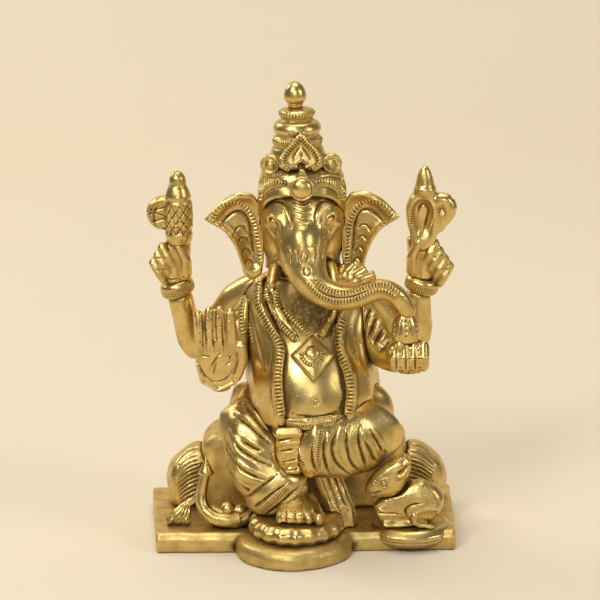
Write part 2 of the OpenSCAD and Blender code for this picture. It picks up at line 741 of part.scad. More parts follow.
// Doubled cords follow the arches
module crown_arches()
    for (side = [-1, 1], k = [0, 1]) cord([for (q = [-6 : 47 : 182])
        on_cap(side * (brow_x + (6.7 + k * 2.1) * cos(q) * (cos(q) < 0 && k == 1 ? 0.7 : 1)),
            brow_z + (8.7 + k * 2.1) * sin(q), -0.2)], 1.15);

module crown_cap_form() {
    cap_body();
    crown_arches();
}

module crown_cap() color(BRASS) difference() {
    crown_cap_form();
    head_form();
    drop_form();
}

// A turned drop hangs from a pointed clasp
module drop_form() {
    translate(on_cap(0.3, cap_z - 5.4, -0.6)) rotate([86, 0, 0]) rotate_extrude($fn = 32) polygon([
        [0, 0], [3.9, 0], [3.9, 0.9], [3.2, 1.4], [2.9, 1.9], [1.6, 2.7], [0, 3]]);
    translate(on_cap(0.3, cap_z - 3.4, -0.6)) rotate([86, 0, 0])
        linear_extrude(1.6) polygon([[-2.6, 0], [2.6, 0], [0.7, 4.4], [-0.7, 4.4]]);
}

module forehead_drop() color(BRASS) drop_form();

leaf_half = [[0, 12.8], [2, 10], [5.2, 7], [7.5, 3.8], [7.2, 1.3], [5, 0.1], [2.4, 0.8], [0.9, 2.2]];
leaf_outline = concat([for (p = leaf_half) [-p[0], p[1]]], [[0, 3]], [for (i = [7 : -1 : 1]) leaf_half[i]]);
leaf_at = [head_x + 0.1, head_y - 10.8, cap_z + 0.2];

// A spade-shaped leaf with a raised rim and a hollow heart
module crown_leaf_form()
    translate(leaf_at) rotate([-14, 0, 0]) relief(leaf_outline, [0, 5],
        [[0.9, -3.4], [1, -1.4], [1, 0.4], [0.92, 1.2], [0.74, 1], [0.66, 0], [0.1, 0]]);

module crown_leaf() color(BRASS) difference() {
    crown_leaf_form();
    cap_body();
    tiers_form();
    drop_form();
}

// A turned scroll stands at each side of the cap's top
module scrolls_form()
    for (side = [-1, 1]) translate([head_x + side * 9.9, head_y - 5, cap_z + 1.2]) rotate([80, 0, side * 14])
        rotate_extrude($fn = 32) polygon([
            [0, -3], [2.6, -3], [3.5, -1], [3.5, 1], [2.9, 2], [2.1, 1.4], [1.5, 1.4], [1.1, 2], [0, 2.2]]);

module crown_scrolls() color(BRASS) difference() {
    scrolls_form();
    cap_body();
    crown_leaf_form();
    tiers_form();
}

// Rings of the stack: [radius, height], as shares of tier_r and stack_h
tier_profile = scaled([
    [1.2, 0], [1.16, 0.12], [1.02, 0.31], [0.92, 0.34], [1.0, 0.38], [1.02, 0.46], [0.90, 0.51],
    [0.82, 0.53], [0.94, 0.58], [0.97, 0.66], [0.86, 0.75], [0.62, 0.80], [0.59, 0.82], [0.72, 0.87],
    [0.74, 0.93],
    [0.62, 0.98], [0.32, 1]], [tier_r, stack_h]);

module tiers_form()
    translate([head_x - 1.2, -1, cap_z]) rotate_extrude($fn = 40)
        polygon(concat([[0, 0]], tier_profile, [[0, stack_h]]));

module crown_tiers() color(BRASS) tiers_form();

module crown_finial() color(BRASS)
    translate([head_x - 1.7, -1, finial_z]) rotate_extrude($fn = 32) polygon(concat(
        [[0, 0], [finial_r * 0.6, 0], [finial_r * 0.66, finial_h * 0.1]],
        [for (q = [-50 : 20 : 90]) [finial_r * cos(q), finial_h * (0.4 + (q < 0 ? 0.3 : 0.6) * sin(q))]]));

// ---- Arms ----

module rear_arm_form(side) {
    wrist = side < 0 ? right_wrist : left_wrist;
    limb([
        [side * 13, 5, neck_z - 8.5, arm_r + 1, arm_r + 2.2],
        [side * 22, 8, neck_z - 13, arm_r + 0.6, arm_r + 1.6],
        [side * 31, 10, hip_z + 33, arm_r, arm_r + 0.4],
        [side * 37, 10, hip_z + 29.5, arm_r - 0.4, arm_r - 0.2],
        [side * 39.4, 9, hip_z + 36, wrist_r + 0.2, wrist_r + 0.2],
        wrist_station(wrist, 0),
        wrist_station(bracelet_at(side), 0)], [0, 1, 0], 12, 2, 0.2);
}

function wrist_station(at, grow) = concat(at, [wrist_r + grow, wrist_r + grow]);

module rear_arm(side) color(BRASS) difference() {
    rear_arm_form(side);
    torso_form();
    shawl_outside();
    bracelet_form(side);
}

module right_rear_arm() rear_arm(-1);
module left_rear_arm() rear_arm(1);

function bracelet_at(side) = (side < 0 ? right_wrist : left_wrist) + [side * 1.4, -0.6, bracelet_h + 1];

module bracelet_form(side)
    translate(bracelet_at(side)) rotate([4, side * 16, 0])
        rotate_extrude($fn = 32) polygon([[0, -bracelet_h / 2], [wrist_r + 0.6, -bracelet_h / 2],
            [wrist_r + 1.4, -bracelet_h * 0.25], [wrist_r + 1.4, bracelet_h * 0.25],
            [wrist_r + 0.6, bracelet_h / 2], [0, bracelet_h / 2]]);

module right_bracelet() color(BRASS) bracelet_form(-1);
module left_bracelet() color(BRASS) bracelet_form(1);

// A fist on the wrist: palm, forefinger raised along it, the others closed in a slanting row
module fist_form(side) {
    at = bracelet_at(side) + [side * -0.5, 0, bracelet_h / 2];
    limb([
        concat(at + [0, 0, -0.8], [3.8, 4.2]),
        concat(at + [side * 0.8, -0.4, 4.4], [4, 5]),
        concat(at + [side * 0.6, -0.4, 9.4], [3.8, 5]),
        concat(at + [side * -0.6, -0.4, 14], [3.4, 4.2])], [0, 1, 0], 12, 1, 0.3);
    for (k = [0 : (side < 0 ? 2 : 3)]) let (a = at + [side * (4.8 + k * 1.6), -2.6, 12 - k * 2.6])
        finger([a, a + [side * -1.6, -1.2, -3], a + [side * -3, -0.6, -5.6]], finger_r);
    finger([at + [side * -2.8, -2.8, 2.6], at + [side * -2.8, -3.6, 8], at + [side * -0.4, -3.8, 13]],
        finger_r + 0.1);
}

module fist(side) color(BRASS) difference() {
    fist_form(side);
    bracelet_form(side);
    held_form(side);
}

module held_form(side)
    if (side < 0) axe_form();
    else noose_form();

module axe_hand() fist(-1);
module noose_hand() fist(1);

// ---- Axe and noose ----

axe_at = right_wrist + [-0.2, -2.5, 24];
axe_profile = scaled([
    [0.8, -0.1], [0.94, 0], [0.96, 0.07], [0.82, 0.1], [0.96, 0.13], [1, 0.35], [0.96, 0.54], [0.8, 0.565],
    [0.92, 0.6], [0.82, 0.68], [0.66, 0.77], [0.55, 0.79], [0.6, 0.82], [0.53, 0.91], [0.31, 0.98], [0, 1]],
    [axe_r, axe_h]);

module axe_form() {
    translate(axe_at) rotate_extrude($fn = 28) polygon(concat([[0, -0.1 * axe_h]], axe_profile));
    translate(axe_at + [-axe_r, 0, axe_h * 0.37]) rotate([90, 0, 0]) rotate_extrude($fn = 32) polygon([
        [0, -axe_r * 0.5], [blade_r * 0.7, -axe_r * 0.5], [blade_r, -axe_r * 0.2], [blade_r, axe_r * 0.2],
        [blade_r * 0.84, axe_r * 0.55], [blade_r * 0.66, axe_r * 0.4], [0, axe_r * 0.4]]);
}

module axe() color(BRASS) axe_form();

noose_at = left_wrist + [1.8, -2.5, 20];
noose_loop = scaled([
    [-0.28, -0.05], [0.05, -0.08], [0.34, 0], [0.46, 0.2], [0.5, 0.4], [0.44, 0.56], [0.22, 0.66],
    [-0.06, 0.68], [-0.34, 0.62], [-0.5, 0.46], [-0.46, 0.26], [-0.34, 0.1]], [noose_w, noose_h]);

// A loop of doubled cord with a hollow heart, and a turned knob on it
module noose_form() {
    translate(noose_at) relief(noose_loop, [0, noose_h * 0.4],
        [[0.86, -3], [1, -1.8], [1, 1.6], [0.9, 2.8], [0.66, 2.6], [0.42, 1]]);
    translate(noose_at + [0.8, 0, noose_h * 0.62]) rotate_extrude($fn = 28) polygon([
        [0, -1], [3.2, -1], [3.9, 1], [3.9, 2.4], [3, 3.2], [3.1, 4.2], [2.4, 7], [1.2, noose_h * 0.34],
        [0, noose_h * 0.36]]);
}

// The cord's loose end curls outwards
module noose() color(BRASS) union() {
    noose_form();
    cord([for (p = [[2.6, 14], [6, 15.6], [8.6, 14.4], [9.2, 11.6], [7, 9], [4.4, 6]])
        noose_at + [p[0], 0.4, p[1]]], 2.9, 8);
}

// ---- Front arms and hands ----

module front_arm_form(side) {
    hand = side < 0 ? blessing_at : offering_at;
    elbow_drop = 4;
    limb([
        [side * 15, 0, neck_z - 12, arm_r + 1, arm_r + 1.6],
        [side * 21.5, -3, hip_z + 38, arm_r + 0.8, arm_r + 1],
        [side * 26, -7, hand[2] - elbow_drop, arm_r + 0.2, arm_r + 0.4],
        [mix(side * 27, hand[0], 0.5), -13, hand[2] - elbow_drop - 1, arm_r - 0.4, arm_r - 0.2],
        [hand[0] - side * 0.5, hand[1] + 5.5, hand[2] - 3.4, wrist_r + 0.2, wrist_r + 0.4]],
        [1, 0, 0], 12, 2, 0.2);
}

module front_arm(side) color(BRASS) difference() {
    front_arm_form(side);
    torso_form();
    shawl_outside();
    rear_arm_form(side);
    if (side < 0) blessing_form();
    else offering_form();
}

module blessing_arm() front_arm(-1);
module offering_arm() front_arm(1);

// The open palm, fingers up and together, thumb laid beside them
module blessing_form() {
    limb([
        concat(blessing_at + [0.6, 1.6, -6.6], [2.2, 3.6]),
        concat(blessing_at + [0.2, 0.6, -3], [2.9, palm_w * 0.46]),
        concat(blessing_at + [-0.2, 0.2, 2], [3.0, palm_w * 0.50]),
        concat(blessing_at + [-0.6, 0.2, 8], [2.6, palm_w * 0.47])], [0, 1, 0], 12, 2, 0.5);
    for (k = [0 : 3]) let (x = palm_w * (0.33 - k * 0.235), rise = [0, 0.8, 0.6, -0.6][k])
        finger([blessing_at + [x, -0.6, 7], blessing_at + [x - 0.4, -0.9, 7.6 + finger_l * 0.45],
            blessing_at + [x - 0.6, -0.8, 7.6 + finger_l * 0.9 + rise]], finger_r);
    finger([blessing_at + [palm_w * 0.4, -0.8, -2], blessing_at + [palm_w * 0.52, -0.9, 3],
        blessing_at + [palm_w * 0.50, -0.9, 8]], finger_r + 0.2);
}

module blessing_hand() color(BRASS) union() {
    blessing_form();
    cord([for (q = [170 : 49.5 : 368])
        blessing_at + [palm_w * 0.47 * cos(q), -1.2, 0.5 + palm_w * 0.5 * sin(q)]], 1);
}

// The offering hand, fingers closed downwards before the palm
module offering_form() {
    limb([
        concat(offering_at + [0, 1.4, -5.8], [3.4, 4.8]),
        concat(offering_at + [0, 1.2, -1.8], [4.2, 6]),
        concat(offering_at + [0, 1.2, 2.4], [3.8, 5.8])], [0, 1, 0], 12, 2, 0.4);
    for (k = [0 : 3]) let (x = (k - 1.5) * 3.1)
        finger([offering_at + [x, -1.8, 2.6], offering_at + [x, -4, -0.6], offering_at + [x, -3.2, -4.2]],
            finger_r);
    finger([offering_at + [-5.6, -0.5, -2], offering_at + [-5.8, -2.4, 1.6], offering_at + [-3, -3.4, 3.6]],
        finger_r);
}

module offering_hand() color(BRASS) difference() {
    offering_form();
    modak_form();
}

module modak_form()
    translate(modak_at) rotate_extrude($fn = 28) polygon([
        [0, -6.6], [4.6, -6.4], [5, -3.4], [4.4, -0.4], [3, 2.4], [1.2, 4.2], [0, 4.6]]);

module modak() color(BRASS) modak_form();

// ---- Mouse, bowl and tassel ----

// A round pad whose front hangs over the plinth's edge
module pad_form()
    translate(pad_at + [0, 0, -5]) rotate_extrude($fn = 48) polygon([
        [0, 0], [pad_d / 2 - 1.6, 0], [pad_d / 2, 2], [pad_d / 2, 4], [pad_d / 2 - 1.2, 5.4],
        [pad_d / 2 - 2, 6], [0, 6]]);

module mouse_pad() color(BRASS) difference() {
    pad_form();
    plinth_form();
}

mouse_path = [
    [pad_at[0] - mouse_l * 0.44, pad_at[1] - 3.6, plinth_h + 5.6, 3.6, 4],
    [pad_at[0] - mouse_l * 0.16, pad_at[1] - 3.4, plinth_h + mouse_h * 0.54, 4.8, 6.4],
    [pad_at[0] + mouse_l * 0.12, pad_at[1] - 3.4, plinth_h + mouse_h * 0.60, 5.6, 8.4],
    [pad_at[0] + mouse_l * 0.3, pad_at[1] - 3.6, plinth_h + mouse_h * 0.46, 5, 6.6]];

module mouse_body() color(BRASS) difference() {
    union() {
        limb(mouse_path, [0, 1, 0], 12, 2, 0.5);
        cord([for (p = [[8.6, 8], [3.4, 8], [0.4, 5.4], [1.4, 2.6], [7.2, 1.8]])
            [pad_at[0] + p[0], pad_at[1] - 8.4, plinth_h + p[1]]], 1.1);
        cord([for (p = [[0, 2.6], [-5, 2.2], [-9, 2.4]])
            [pad_at[0] + p[0], pad_at[1] - 7.2, plinth_h + p[1]]], 1.4);
    }
    pad_form();
    plinth_form();
    mouse_head_form();
    seat_form();
    left_leg_form();
}

mouse_head_outline = scaled([
    [-0.3, 0], [0.1, 0.04], [0.26, 0.16], [0.38, 0.4], [0.46, 0.7], [0.45, 0.9], [0.36, 1.02], [0.2, 1],
    [-0.1, 0.8], [-0.34, 0.56], [-0.48, 0.34], [-0.52, 0.10]], [mouse_l * 0.66, mouse_h * 0.86]);

module mouse_head_form()
    translate([pad_at[0] - 5.6, pad_at[1] - 3.4, plinth_h + mouse_h * 0.72]) relief(mouse_head_outline,
        [0, mouse_h * 0.42], [[0.6, -3.6], [0.95, -1.6], [1, 0.6], [0.94, 2.6], [0.7, 4.2], [0.3, 5]]);

module mouse_head() color(BRASS) difference() {
    union() {
        mouse_head_form();
        translate([pad_at[0] - 7, pad_at[1] - 8, plinth_h + mouse_h * 1.08]) rotate([90, 0, 0])
            cylinder(r = 1.3, h = 1.6, center = true, $fn = 20);
        for (k = [0, 1]) cord([for (p = [[1.2, 9.4], [-0.8, 8.2], [-2.2, 6.4]])
            [pad_at[0] - 3 + p[0] + k * 1.6, pad_at[1] - 7, plinth_h + mouse_h * 0.72 + p[1] - k * 2]], 0.9);
    }
    left_leg_form();
    seat_form();
}

// A crescent dish beside the seat, thick in the middle
bowl_path = [
    [bowl_at[0] - bowl_w * 0.45, bowl_at[1] + 0.6, plinth_h + bowl_h * 0.9, 2.6, 2.4],
    [bowl_at[0] - bowl_w * 0.2, bowl_at[1], plinth_h + bowl_h * 0.5, 4, 3.6],
    [bowl_at[0] + bowl_w * 0.15, bowl_at[1] - 0.4, plinth_h + bowl_h * 0.4, 4.2, 3.4],
    [bowl_at[0] + bowl_w * 0.5, bowl_at[1] - 0.6, plinth_h + bowl_h * 0.6, 2.6, 2]];

module bowl_form() limb(bowl_path, [0, 1, 0], 12, 2, 0.6);

module sweets_bowl() color(BRASS) difference() {
    bowl_form();
    plinth_form();
    lotus_form();
    right_leg_form();
}

module sweets() color(BRASS) difference() {
    for (k = [0, 1])
        translate([bowl_at[0] - 0.6 + k * 4, bowl_at[1] - 0.4, plinth_h + bowl_h * 0.98 - k * 0.6])
            sphere(2.7 - k * 0.5, $fn = 24);
    bowl_form();
    right_leg_form();
}

spout_path = [
    [bowl_at[0] - bowl_w * 0.48, bowl_at[1] + 0.8, plinth_h + bowl_h * 0.9, 2.4, 2.4],
    [bowl_at[0] - bowl_w * 0.5, bowl_at[1] + 1.4, plinth_h + bowl_h * 1.7, 2.1, 2.1],
    [bowl_at[0] - bowl_w * 0.46, bowl_at[1] + 2, plinth_h + bowl_h * 2.2, 2.2, 2.2]];

// A neck rises from the dish and carries a pointed cap
module spout_form() {
    limb(spout_path, [0, 1, 0], 8, 1, 0.3);
    translate(place(spout_path[2]) + [0, 0, 0.4]) cylinder(r1 = 3.6, r2 = 0.8, h = 5.4, $fn = 24);
}

module bowl_spout() color(BRASS) difference() {
    spout_form();
    bowl_form();
    right_leg_form();
    seat_form();
}

// A strap runs from the neck to a ribbed fan
tassel_at = [bowl_at[0] - bowl_w * 0.5 - 8, bowl_at[1] + 2.4, plinth_h];
module tassel_form() {
    knot = place(spout_path[2]);
    cord([knot + [-1.2, 0, -0.6], mix(knot, tassel_at + [0, 0, 6], 0.5) + [-0.6, 0, -0.4],
        tassel_at + [0, 0, 6]], 1.4, 5);
    for (k = [-1 : 1]) cord([tassel_at + [0, 0, 6.4], tassel_at + [-1.6 + k * 2, -0.8, 3.4],
        tassel_at + [-2.6 + k * 3, -1.2, 1]], 1.9);
}

module fan_tassel() color(BRASS) difference() {
    tassel_form();
    plinth_form();
    spout_form();
    bowl_form();
    seat_form();
}

// Each piece is drawn by itself or with all the others
base_plinth();
lotus_footrest();
seat_block();
right_cushion();
left_cushion();
torso();
shawl();
waist_belt();
right_leg();
left_leg();
cloth_fall();
right_foot();
left_foot();
necklace();
pendant();
head();
trunk();
right_tusk();
left_tusk();
right_ear();
left_ear();
crown_cap();
crown_leaf();
crown_scrolls();
crown_tiers();
crown_finial();
forehead_drop();
right_rear_arm();
left_rear_arm();
right_bracelet();
left_bracelet();
axe_hand();
axe();
noose_hand();
noose();
blessing_arm();
blessing_hand();
offering_arm();
offering_hand();
modak();
mouse_pad();
mouse_body();
mouse_head();
sweets_bowl();
sweets();
bowl_spout();
fan_tassel();
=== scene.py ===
import math

import bmesh
import bpy
import numpy as np
from mathutils import Matrix, Vector
from mathutils.bvhtree import BVHTree


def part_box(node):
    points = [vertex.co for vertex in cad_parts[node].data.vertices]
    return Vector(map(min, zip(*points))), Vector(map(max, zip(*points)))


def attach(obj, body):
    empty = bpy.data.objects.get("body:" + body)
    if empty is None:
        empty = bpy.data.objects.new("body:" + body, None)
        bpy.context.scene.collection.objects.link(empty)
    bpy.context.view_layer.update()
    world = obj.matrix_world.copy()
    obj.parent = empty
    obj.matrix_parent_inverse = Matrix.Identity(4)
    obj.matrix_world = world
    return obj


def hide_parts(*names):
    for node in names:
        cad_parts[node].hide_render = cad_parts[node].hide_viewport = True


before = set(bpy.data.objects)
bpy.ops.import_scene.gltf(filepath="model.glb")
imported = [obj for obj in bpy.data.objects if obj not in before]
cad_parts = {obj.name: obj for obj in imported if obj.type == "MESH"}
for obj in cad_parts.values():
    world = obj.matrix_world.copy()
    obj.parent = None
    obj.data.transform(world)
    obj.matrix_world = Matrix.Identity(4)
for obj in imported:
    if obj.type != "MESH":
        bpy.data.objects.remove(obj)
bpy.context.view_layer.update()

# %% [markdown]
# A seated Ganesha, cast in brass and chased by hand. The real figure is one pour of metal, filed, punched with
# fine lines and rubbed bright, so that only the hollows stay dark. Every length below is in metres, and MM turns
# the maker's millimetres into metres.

MM = 0.001
TAU = 2 * math.pi
scene = bpy.context.scene
print("frame nodes:", len(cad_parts))

# %% [markdown]
# The view comes first, because it decides which side gets the finest work. A long lens a short way above the
# plinth keeps the figure's upright lines straight. The camera could be aimed with a constraint, but a matrix made
# from three directions leaves nothing live in the scene.

# %% Camera
lens_length = 166.3
camera_height = 0.320
camera_distance = 0.900
camera_turn = math.radians(1.0)
camera_tilt = math.radians(-1.04)
look_at = Vector((-0.0009, 0, 0.0806))

sensor_width = 36
nearest_seen = 0.01

camera_data = bpy.data.cameras.new("view")
camera_data.lens = lens_length
camera_data.sensor_width = sensor_width
camera_data.clip_start = nearest_seen
camera = bpy.data.objects.new("view", camera_data)
scene.collection.objects.link(camera)
place = Vector((camera_distance * math.sin(camera_turn),
                -camera_distance * math.cos(camera_turn), camera_height))
ahead = (look_at - place).normalized()
level = ahead.cross(Vector((0, 0, 1))).normalized()
upright = level.cross(ahead)
side = level * math.cos(camera_tilt) + upright * math.sin(camera_tilt)
top = upright * math.cos(camera_tilt) - level * math.sin(camera_tilt)
turned = Matrix((side, top, -ahead)).transposed()
camera.matrix_world = Matrix.Translation(place) @ turned.to_4x4()
scene.camera = camera
print("camera at", tuple(round(v, 3) for v in place))

# %% [markdown]
# Polished metal shows mostly what it reflects. A pale sweep of paper gives it warm light from below and behind,
# and six soft boxes give it broad highlights with darker gaps between them. The paper curves up behind the
# figure, so no edge shows. Many small lamps would give hard sparks instead.

# %% Floor and lights
room_light, room_strength = (0.80, 0.78, 0.74, 1), 0.20
paper_colour = (0.765, 0.673, 0.516, 1)
lamp_white = (1, 0.98, 0.94)
chest = Vector((0, 0, 0.08))
sweep_steps, sweep_step, wall_height = 12, 0.065, 1.5

scene.view_settings.view_transform = "Standard"
world = bpy.data.worlds.new("studio")
scene.world = world
world.use_nodes = True
room = world.node_tree.nodes["Background"].inputs
room["Color"].default_value = room_light
room["Strength"].default_value = room_strength

bpy.ops.object.select_all(action="DESELECT")
bpy.ops.mesh.primitive_plane_add(size=3, location=(0, -0.85, 0))
floor = bpy.context.object
floor.name = "floor"
bpy.ops.object.mode_set(mode="EDIT")
bpy.ops.mesh.select_all(action="DESELECT")
bpy.ops.mesh.select_mode(type="EDGE")
bpy.ops.object.mode_set(mode="OBJECT")
for edge in floor.data.edges:
    edge.select = all(floor.data.vertices[v].co.y > 0 for v in edge.vertices)
bpy.ops.object.mode_set(mode="EDIT")
for k in range(1, sweep_steps + 1):
    rise = math.radians(90 * (k - 0.5) / sweep_steps)
    bpy.ops.mesh.extrude_region_move(TRANSFORM_OT_translate={
        "value": (0, sweep_step * math.cos(rise), sweep_step * math.sin(rise))})
bpy.ops.mesh.extrude_region_move(TRANSFORM_OT_translate={"value": (0, 0, wall_height)})
bpy.ops.mesh.select_all(action="SELECT")
bpy.ops.mesh.normals_make_consistent(inside=False)
bpy.ops.object.mode_set(mode="OBJECT")
floor.data.shade_smooth()
paper = bpy.data.materials.new("pale_paper")
paper.use_nodes = True
paper_shader = paper.node_tree.nodes["Principled BSDF"]
paper_shader.inputs["Base Color"].default_value = paper_colour
paper_shader.inputs["Roughness"].default_value = 0.95
paper_shader.inputs["Specular IOR Level"].default_value = 0.1
floor.data.materials.append(paper)


def soft_box(name, at, size, power):
    """A square lamp that faces the figure's chest."""
    lamp = bpy.data.lights.new(name, "AREA")
    lamp.size = size
    lamp.energy = power
    lamp.color = lamp_white
    holder = bpy.data.objects.new(name, lamp)
    scene.collection.objects.link(holder)
    holder.location = at
    holder.rotation_euler = (chest - holder.location).to_track_quat("-Z", "Y").to_euler()


soft_box("key_light", (-0.77, -1.19, 1.36), 0.62, 13.5)
soft_box("front_light", (0.10, -2.20, 0.85), 1.30, 4.5)
soft_box("face_light", (-0.08, -1.90, 1.02), 0.34, 2.6)
soft_box("side_light", (1.36, -0.68, 0.77), 0.45, 5.0)
soft_box("top_light", (0.0, 0.17, 2.20), 1.50, 24.0)
soft_box("back_light", (-0.94, 0.60, 0.85), 0.45, 3.5)
print("soft boxes: 6")

# %% [markdown]
# Old brass is not one colour. The rubbed heights are pale gold, the flats are olive gold with faint cloudy
# stains, and the punched lines hold brown wax and dirt. How deep each point lies in the hollows is stored on each
# piece as a number per point, and the shader turns that number into wax brown. On the torso the same number also
# carries a round painted shade spot under the head, and an ambient occlusion node in the shader paints shade in
# corners and in the gaps between parts with the same brown. A texture could do the same, but it would need a flat
# pattern of every piece.

# %% Brass
gold_bright = (0.745, 0.552, 0.215, 1)
gold_dull = (0.515, 0.352, 0.105, 1)
# wax brown is the real wax in the punched lines, and also the painted shade in corners, between parts and under
# the head
wax_and_shade_brown = (0.075, 0.037, 0.006, 1)


def fill(tree, socket, value):
    """Gives an input a constant, or links another node's socket to it."""
    if isinstance(value, bpy.types.NodeSocket):
        tree.links.new(value, socket)
    else:
        socket.default_value = value


def node_of(tree, kind, **values):
    """A shader node with its settings and its named inputs filled in."""
    node = tree.nodes.new(kind)
    for key, value in values.items():
        if hasattr(node, key):
            setattr(node, key, value)
        else:
            fill(tree, node.inputs[key.replace("_", " ")], value)
    return node


def ranged(tree, source, low=0.0, high=1.0, to_low=0.0, to_high=1.0):
    """A value stretched from one range to another and held at its ends."""
    return node_of(tree, "ShaderNodeMapRange", Value=source, From_Min=low, From_Max=high,
                   To_Min=to_low, To_Max=to_high).outputs["Result"]


def reckoned(tree, operation, *terms, clamp=False):
    """The result of a math node on sockets and numbers."""
    node = node_of(tree, "ShaderNodeMath", operation=operation, use_clamp=clamp)
    for socket, term in zip(node.inputs, terms):
        fill(tree, socket, term)
    return node.outputs[0]


def noise(tree, place_on, scale, detail, roughness=0.5):
    """Cloudy values, with the scale in clouds per metre."""
    return node_of(tree, "ShaderNodeTexNoise", Vector=place_on, Scale=scale, Detail=detail,
                   Roughness=roughness).outputs["Fac"]


def brass(name, stain=0.7, polish=0.25, grain=0.22):
    """Cast brass: cloudy colour, wax in hollows, painted corner shade, file marks and small casting pits."""
    metal = bpy.data.materials.new(name)
    metal.use_nodes = True
    tree = metal.node_tree
    place_on = node_of(tree, "ShaderNodeTexCoord").outputs["Object"]

    cloudy = ranged(tree, noise(tree, place_on, 170.0, 5.0, 0.62), 0.38, 0.68, to_high=stain)
    gold = node_of(tree, "ShaderNodeMix", data_type="RGBA", Factor=cloudy, A=gold_bright, B=gold_dull)

    hollow = node_of(tree, "ShaderNodeAttribute", attribute_name="hollow").outputs["Fac"]
    # Painted shade: an ambient occlusion node darkens corners and the gaps between parts towards the wax brown.
    corners = node_of(tree, "ShaderNodeAmbientOcclusion", samples=8, Distance=0.006).outputs["AO"]
    bloom = ranged(tree, noise(tree, place_on, 75.0, 6.0, 0.7), 0.52, 0.74, to_high=0.45 * stain)
    caught = reckoned(tree, "MAXIMUM", hollow, ranged(tree, corners, 0.66, 0.14, to_high=0.95))
    dirt_and_shade = reckoned(tree, "MAXIMUM", caught, bloom)
    patches = ranged(tree, noise(tree, place_on, 900.0, 3.0), 0.30, 0.55, to_low=0.70)
    wax_and_shade = reckoned(tree, "MULTIPLY", dirt_and_shade, patches, clamp=True)
    # The brown stands for wax and stains, and also for painted shade in corners, between parts and under the head.
    colour = node_of(tree, "ShaderNodeMix", data_type="RGBA", Factor=wax_and_shade, A=gold.outputs["Result"],
                     B=wax_and_shade_brown)
    roughness = reckoned(tree, "MULTIPLY_ADD", cloudy, 0.16,
                         ranged(tree, wax_and_shade, to_low=polish, to_high=0.75))

    filed = node_of(tree, "ShaderNodeMapping", Vector=place_on, Rotation=(0.4, 0.3, 0.5),
                    Scale=(5200, 900, 1500)).outputs["Vector"]
    pits = node_of(tree, "ShaderNodeTexVoronoi", Vector=place_on, Scale=420.0).outputs["Distance"]
    relief = reckoned(tree, "MULTIPLY_ADD", noise(tree, filed, 1.0, 2.0), 0.35,
                      ranged(tree, pits, 0.04, 0.16))
    bump = node_of(tree, "ShaderNodeBump", Strength=grain, Distance=0.0004, Height=relief)

    surface = {"Specular IOR Level": 0.2, "Base Color": colour.outputs["Result"],
               "Metallic": ranged(tree, wax_and_shade, to_low=1.0, to_high=0.6), "Roughness": roughness,
               "Normal": bump.outputs["Normal"]}
    for key, value in surface.items():
        fill(tree, tree.nodes["Principled BSDF"].inputs[key], value)
    return metal


polished = brass("polished_brass")
dull = brass("aged_brass", stain=0.95, polish=0.36, grain=0.35)
print("finishes:", polished.name, dull.name)

# %% [markdown]
# Each form starts as a merged copy of the frame's own solid. Its flat facets are turned into an even skin of
# small squares, and the skin is rubbed down, as a founder rubs a wax. Rubbing alone would make thin parts
# thinner, so what it took off is smoothed too and put back.

# %% Casting
def pick(piece):
    """Makes a piece the only selected one."""
    bpy.ops.object.select_all(action="DESELECT")
    piece.select_set(True)
    bpy.context.view_layer.objects.active = piece


def points_of(piece):
    """The piece's points, one row each."""
    flat = np.empty(len(piece.data.vertices) * 3)
    piece.data.vertices.foreach_get("co", flat)
    return flat.reshape(-1, 3)


def normals_of(piece):
    """The outward direction at each point."""
    flat = np.empty(len(piece.data.vertices) * 3, np.float32)
    piece.data.vertex_normals.foreach_get("vector", flat)
    return flat.reshape(-1, 3).astype(float)


def set_points(piece, points):
    """Puts the points back in the mesh."""
    piece.data.vertices.foreach_set("co", points.ravel())
    piece.data.update()


def neighbour_mean(points, edges, count):
    """The middle of each point's neighbours."""
    total = np.empty_like(points)
    for axis in range(3):
        column = points[:, axis]
        total[:, axis] = np.bincount(edges[:, 0], column[edges[:, 1]], len(points))
        total[:, axis] += np.bincount(edges[:, 1], column[edges[:, 0]], len(points))
    return total / count[:, None]


def edges_of(piece):
    """The piece's edges, and how many meet at each point."""
    flat = np.empty(len(piece.data.edges) * 2, np.int32)
    piece.data.edges.foreach_get("vertices", flat)
    edges = flat.reshape(-1, 2)
    return edges, np.maximum(np.bincount(flat, minlength=len(piece.data.vertices)), 1)


def blurred(rows, edges, count, passes):
    """Rows drawn towards their neighbours, again and again."""
    for _ in range(passes):
        rows = rows + 0.5 * (neighbour_mean(rows, edges, count) - rows)
    return rows


def rub(piece, passes):
    """Rubs facets down, then gives back what the rubbing took off the broad form."""
    edges, count = edges_of(piece)
    sharp = points_of(piece)
    soft = blurred(sharp, edges, count, passes)
    set_points(piece, soft + blurred(sharp - soft, edges, count, passes))


def calm(piece, node, share, reach, passes):
    """Rubs one round spot of a piece smooth, with its reach in millimetres."""
    at = lay_line(skin_tree(piece), node, [share])[0][0]
    points, (edges, count) = points_of(piece), edges_of(piece)
    pull = 0.6 * np.clip(2 - 2 * np.linalg.norm(points - at, axis=1) / (reach * MM), 0, 1)[:, None]
    for _ in range(passes):
        points = points + pull * (neighbour_mean(points, edges, count) - points)
    set_points(piece, points)


def worn(piece, depth, length):
    """Makes a form a little uneven, as hand-filed metal is."""
    points, normals = points_of(piece), normals_of(piece)
    waves = np.zeros(len(points))
    ways = ((0.8, 0.5, 0.3), (-0.4, 0.9, 0.2), (0.3, -0.2, 0.9), (0.6, 0.1, -0.8), (0.1, 0.7, 0.7))
    for i, way in enumerate(ways):
        waves += np.sin(points @ np.array(way) * TAU / (length * MM * (1 + 0.27 * i)) + 1.7 * i)
    set_points(piece, points + normals * (waves * depth * MM / 3)[:, None])


def piece_of(name, mesh):
    """A piece in the scene, made from a mesh that isn't needed after it."""
    data = bpy.data.meshes.new(name)
    mesh.to_mesh(data)
    mesh.free()
    piece = bpy.data.objects.new(name, data)
    scene.collection.objects.link(piece)
    return piece


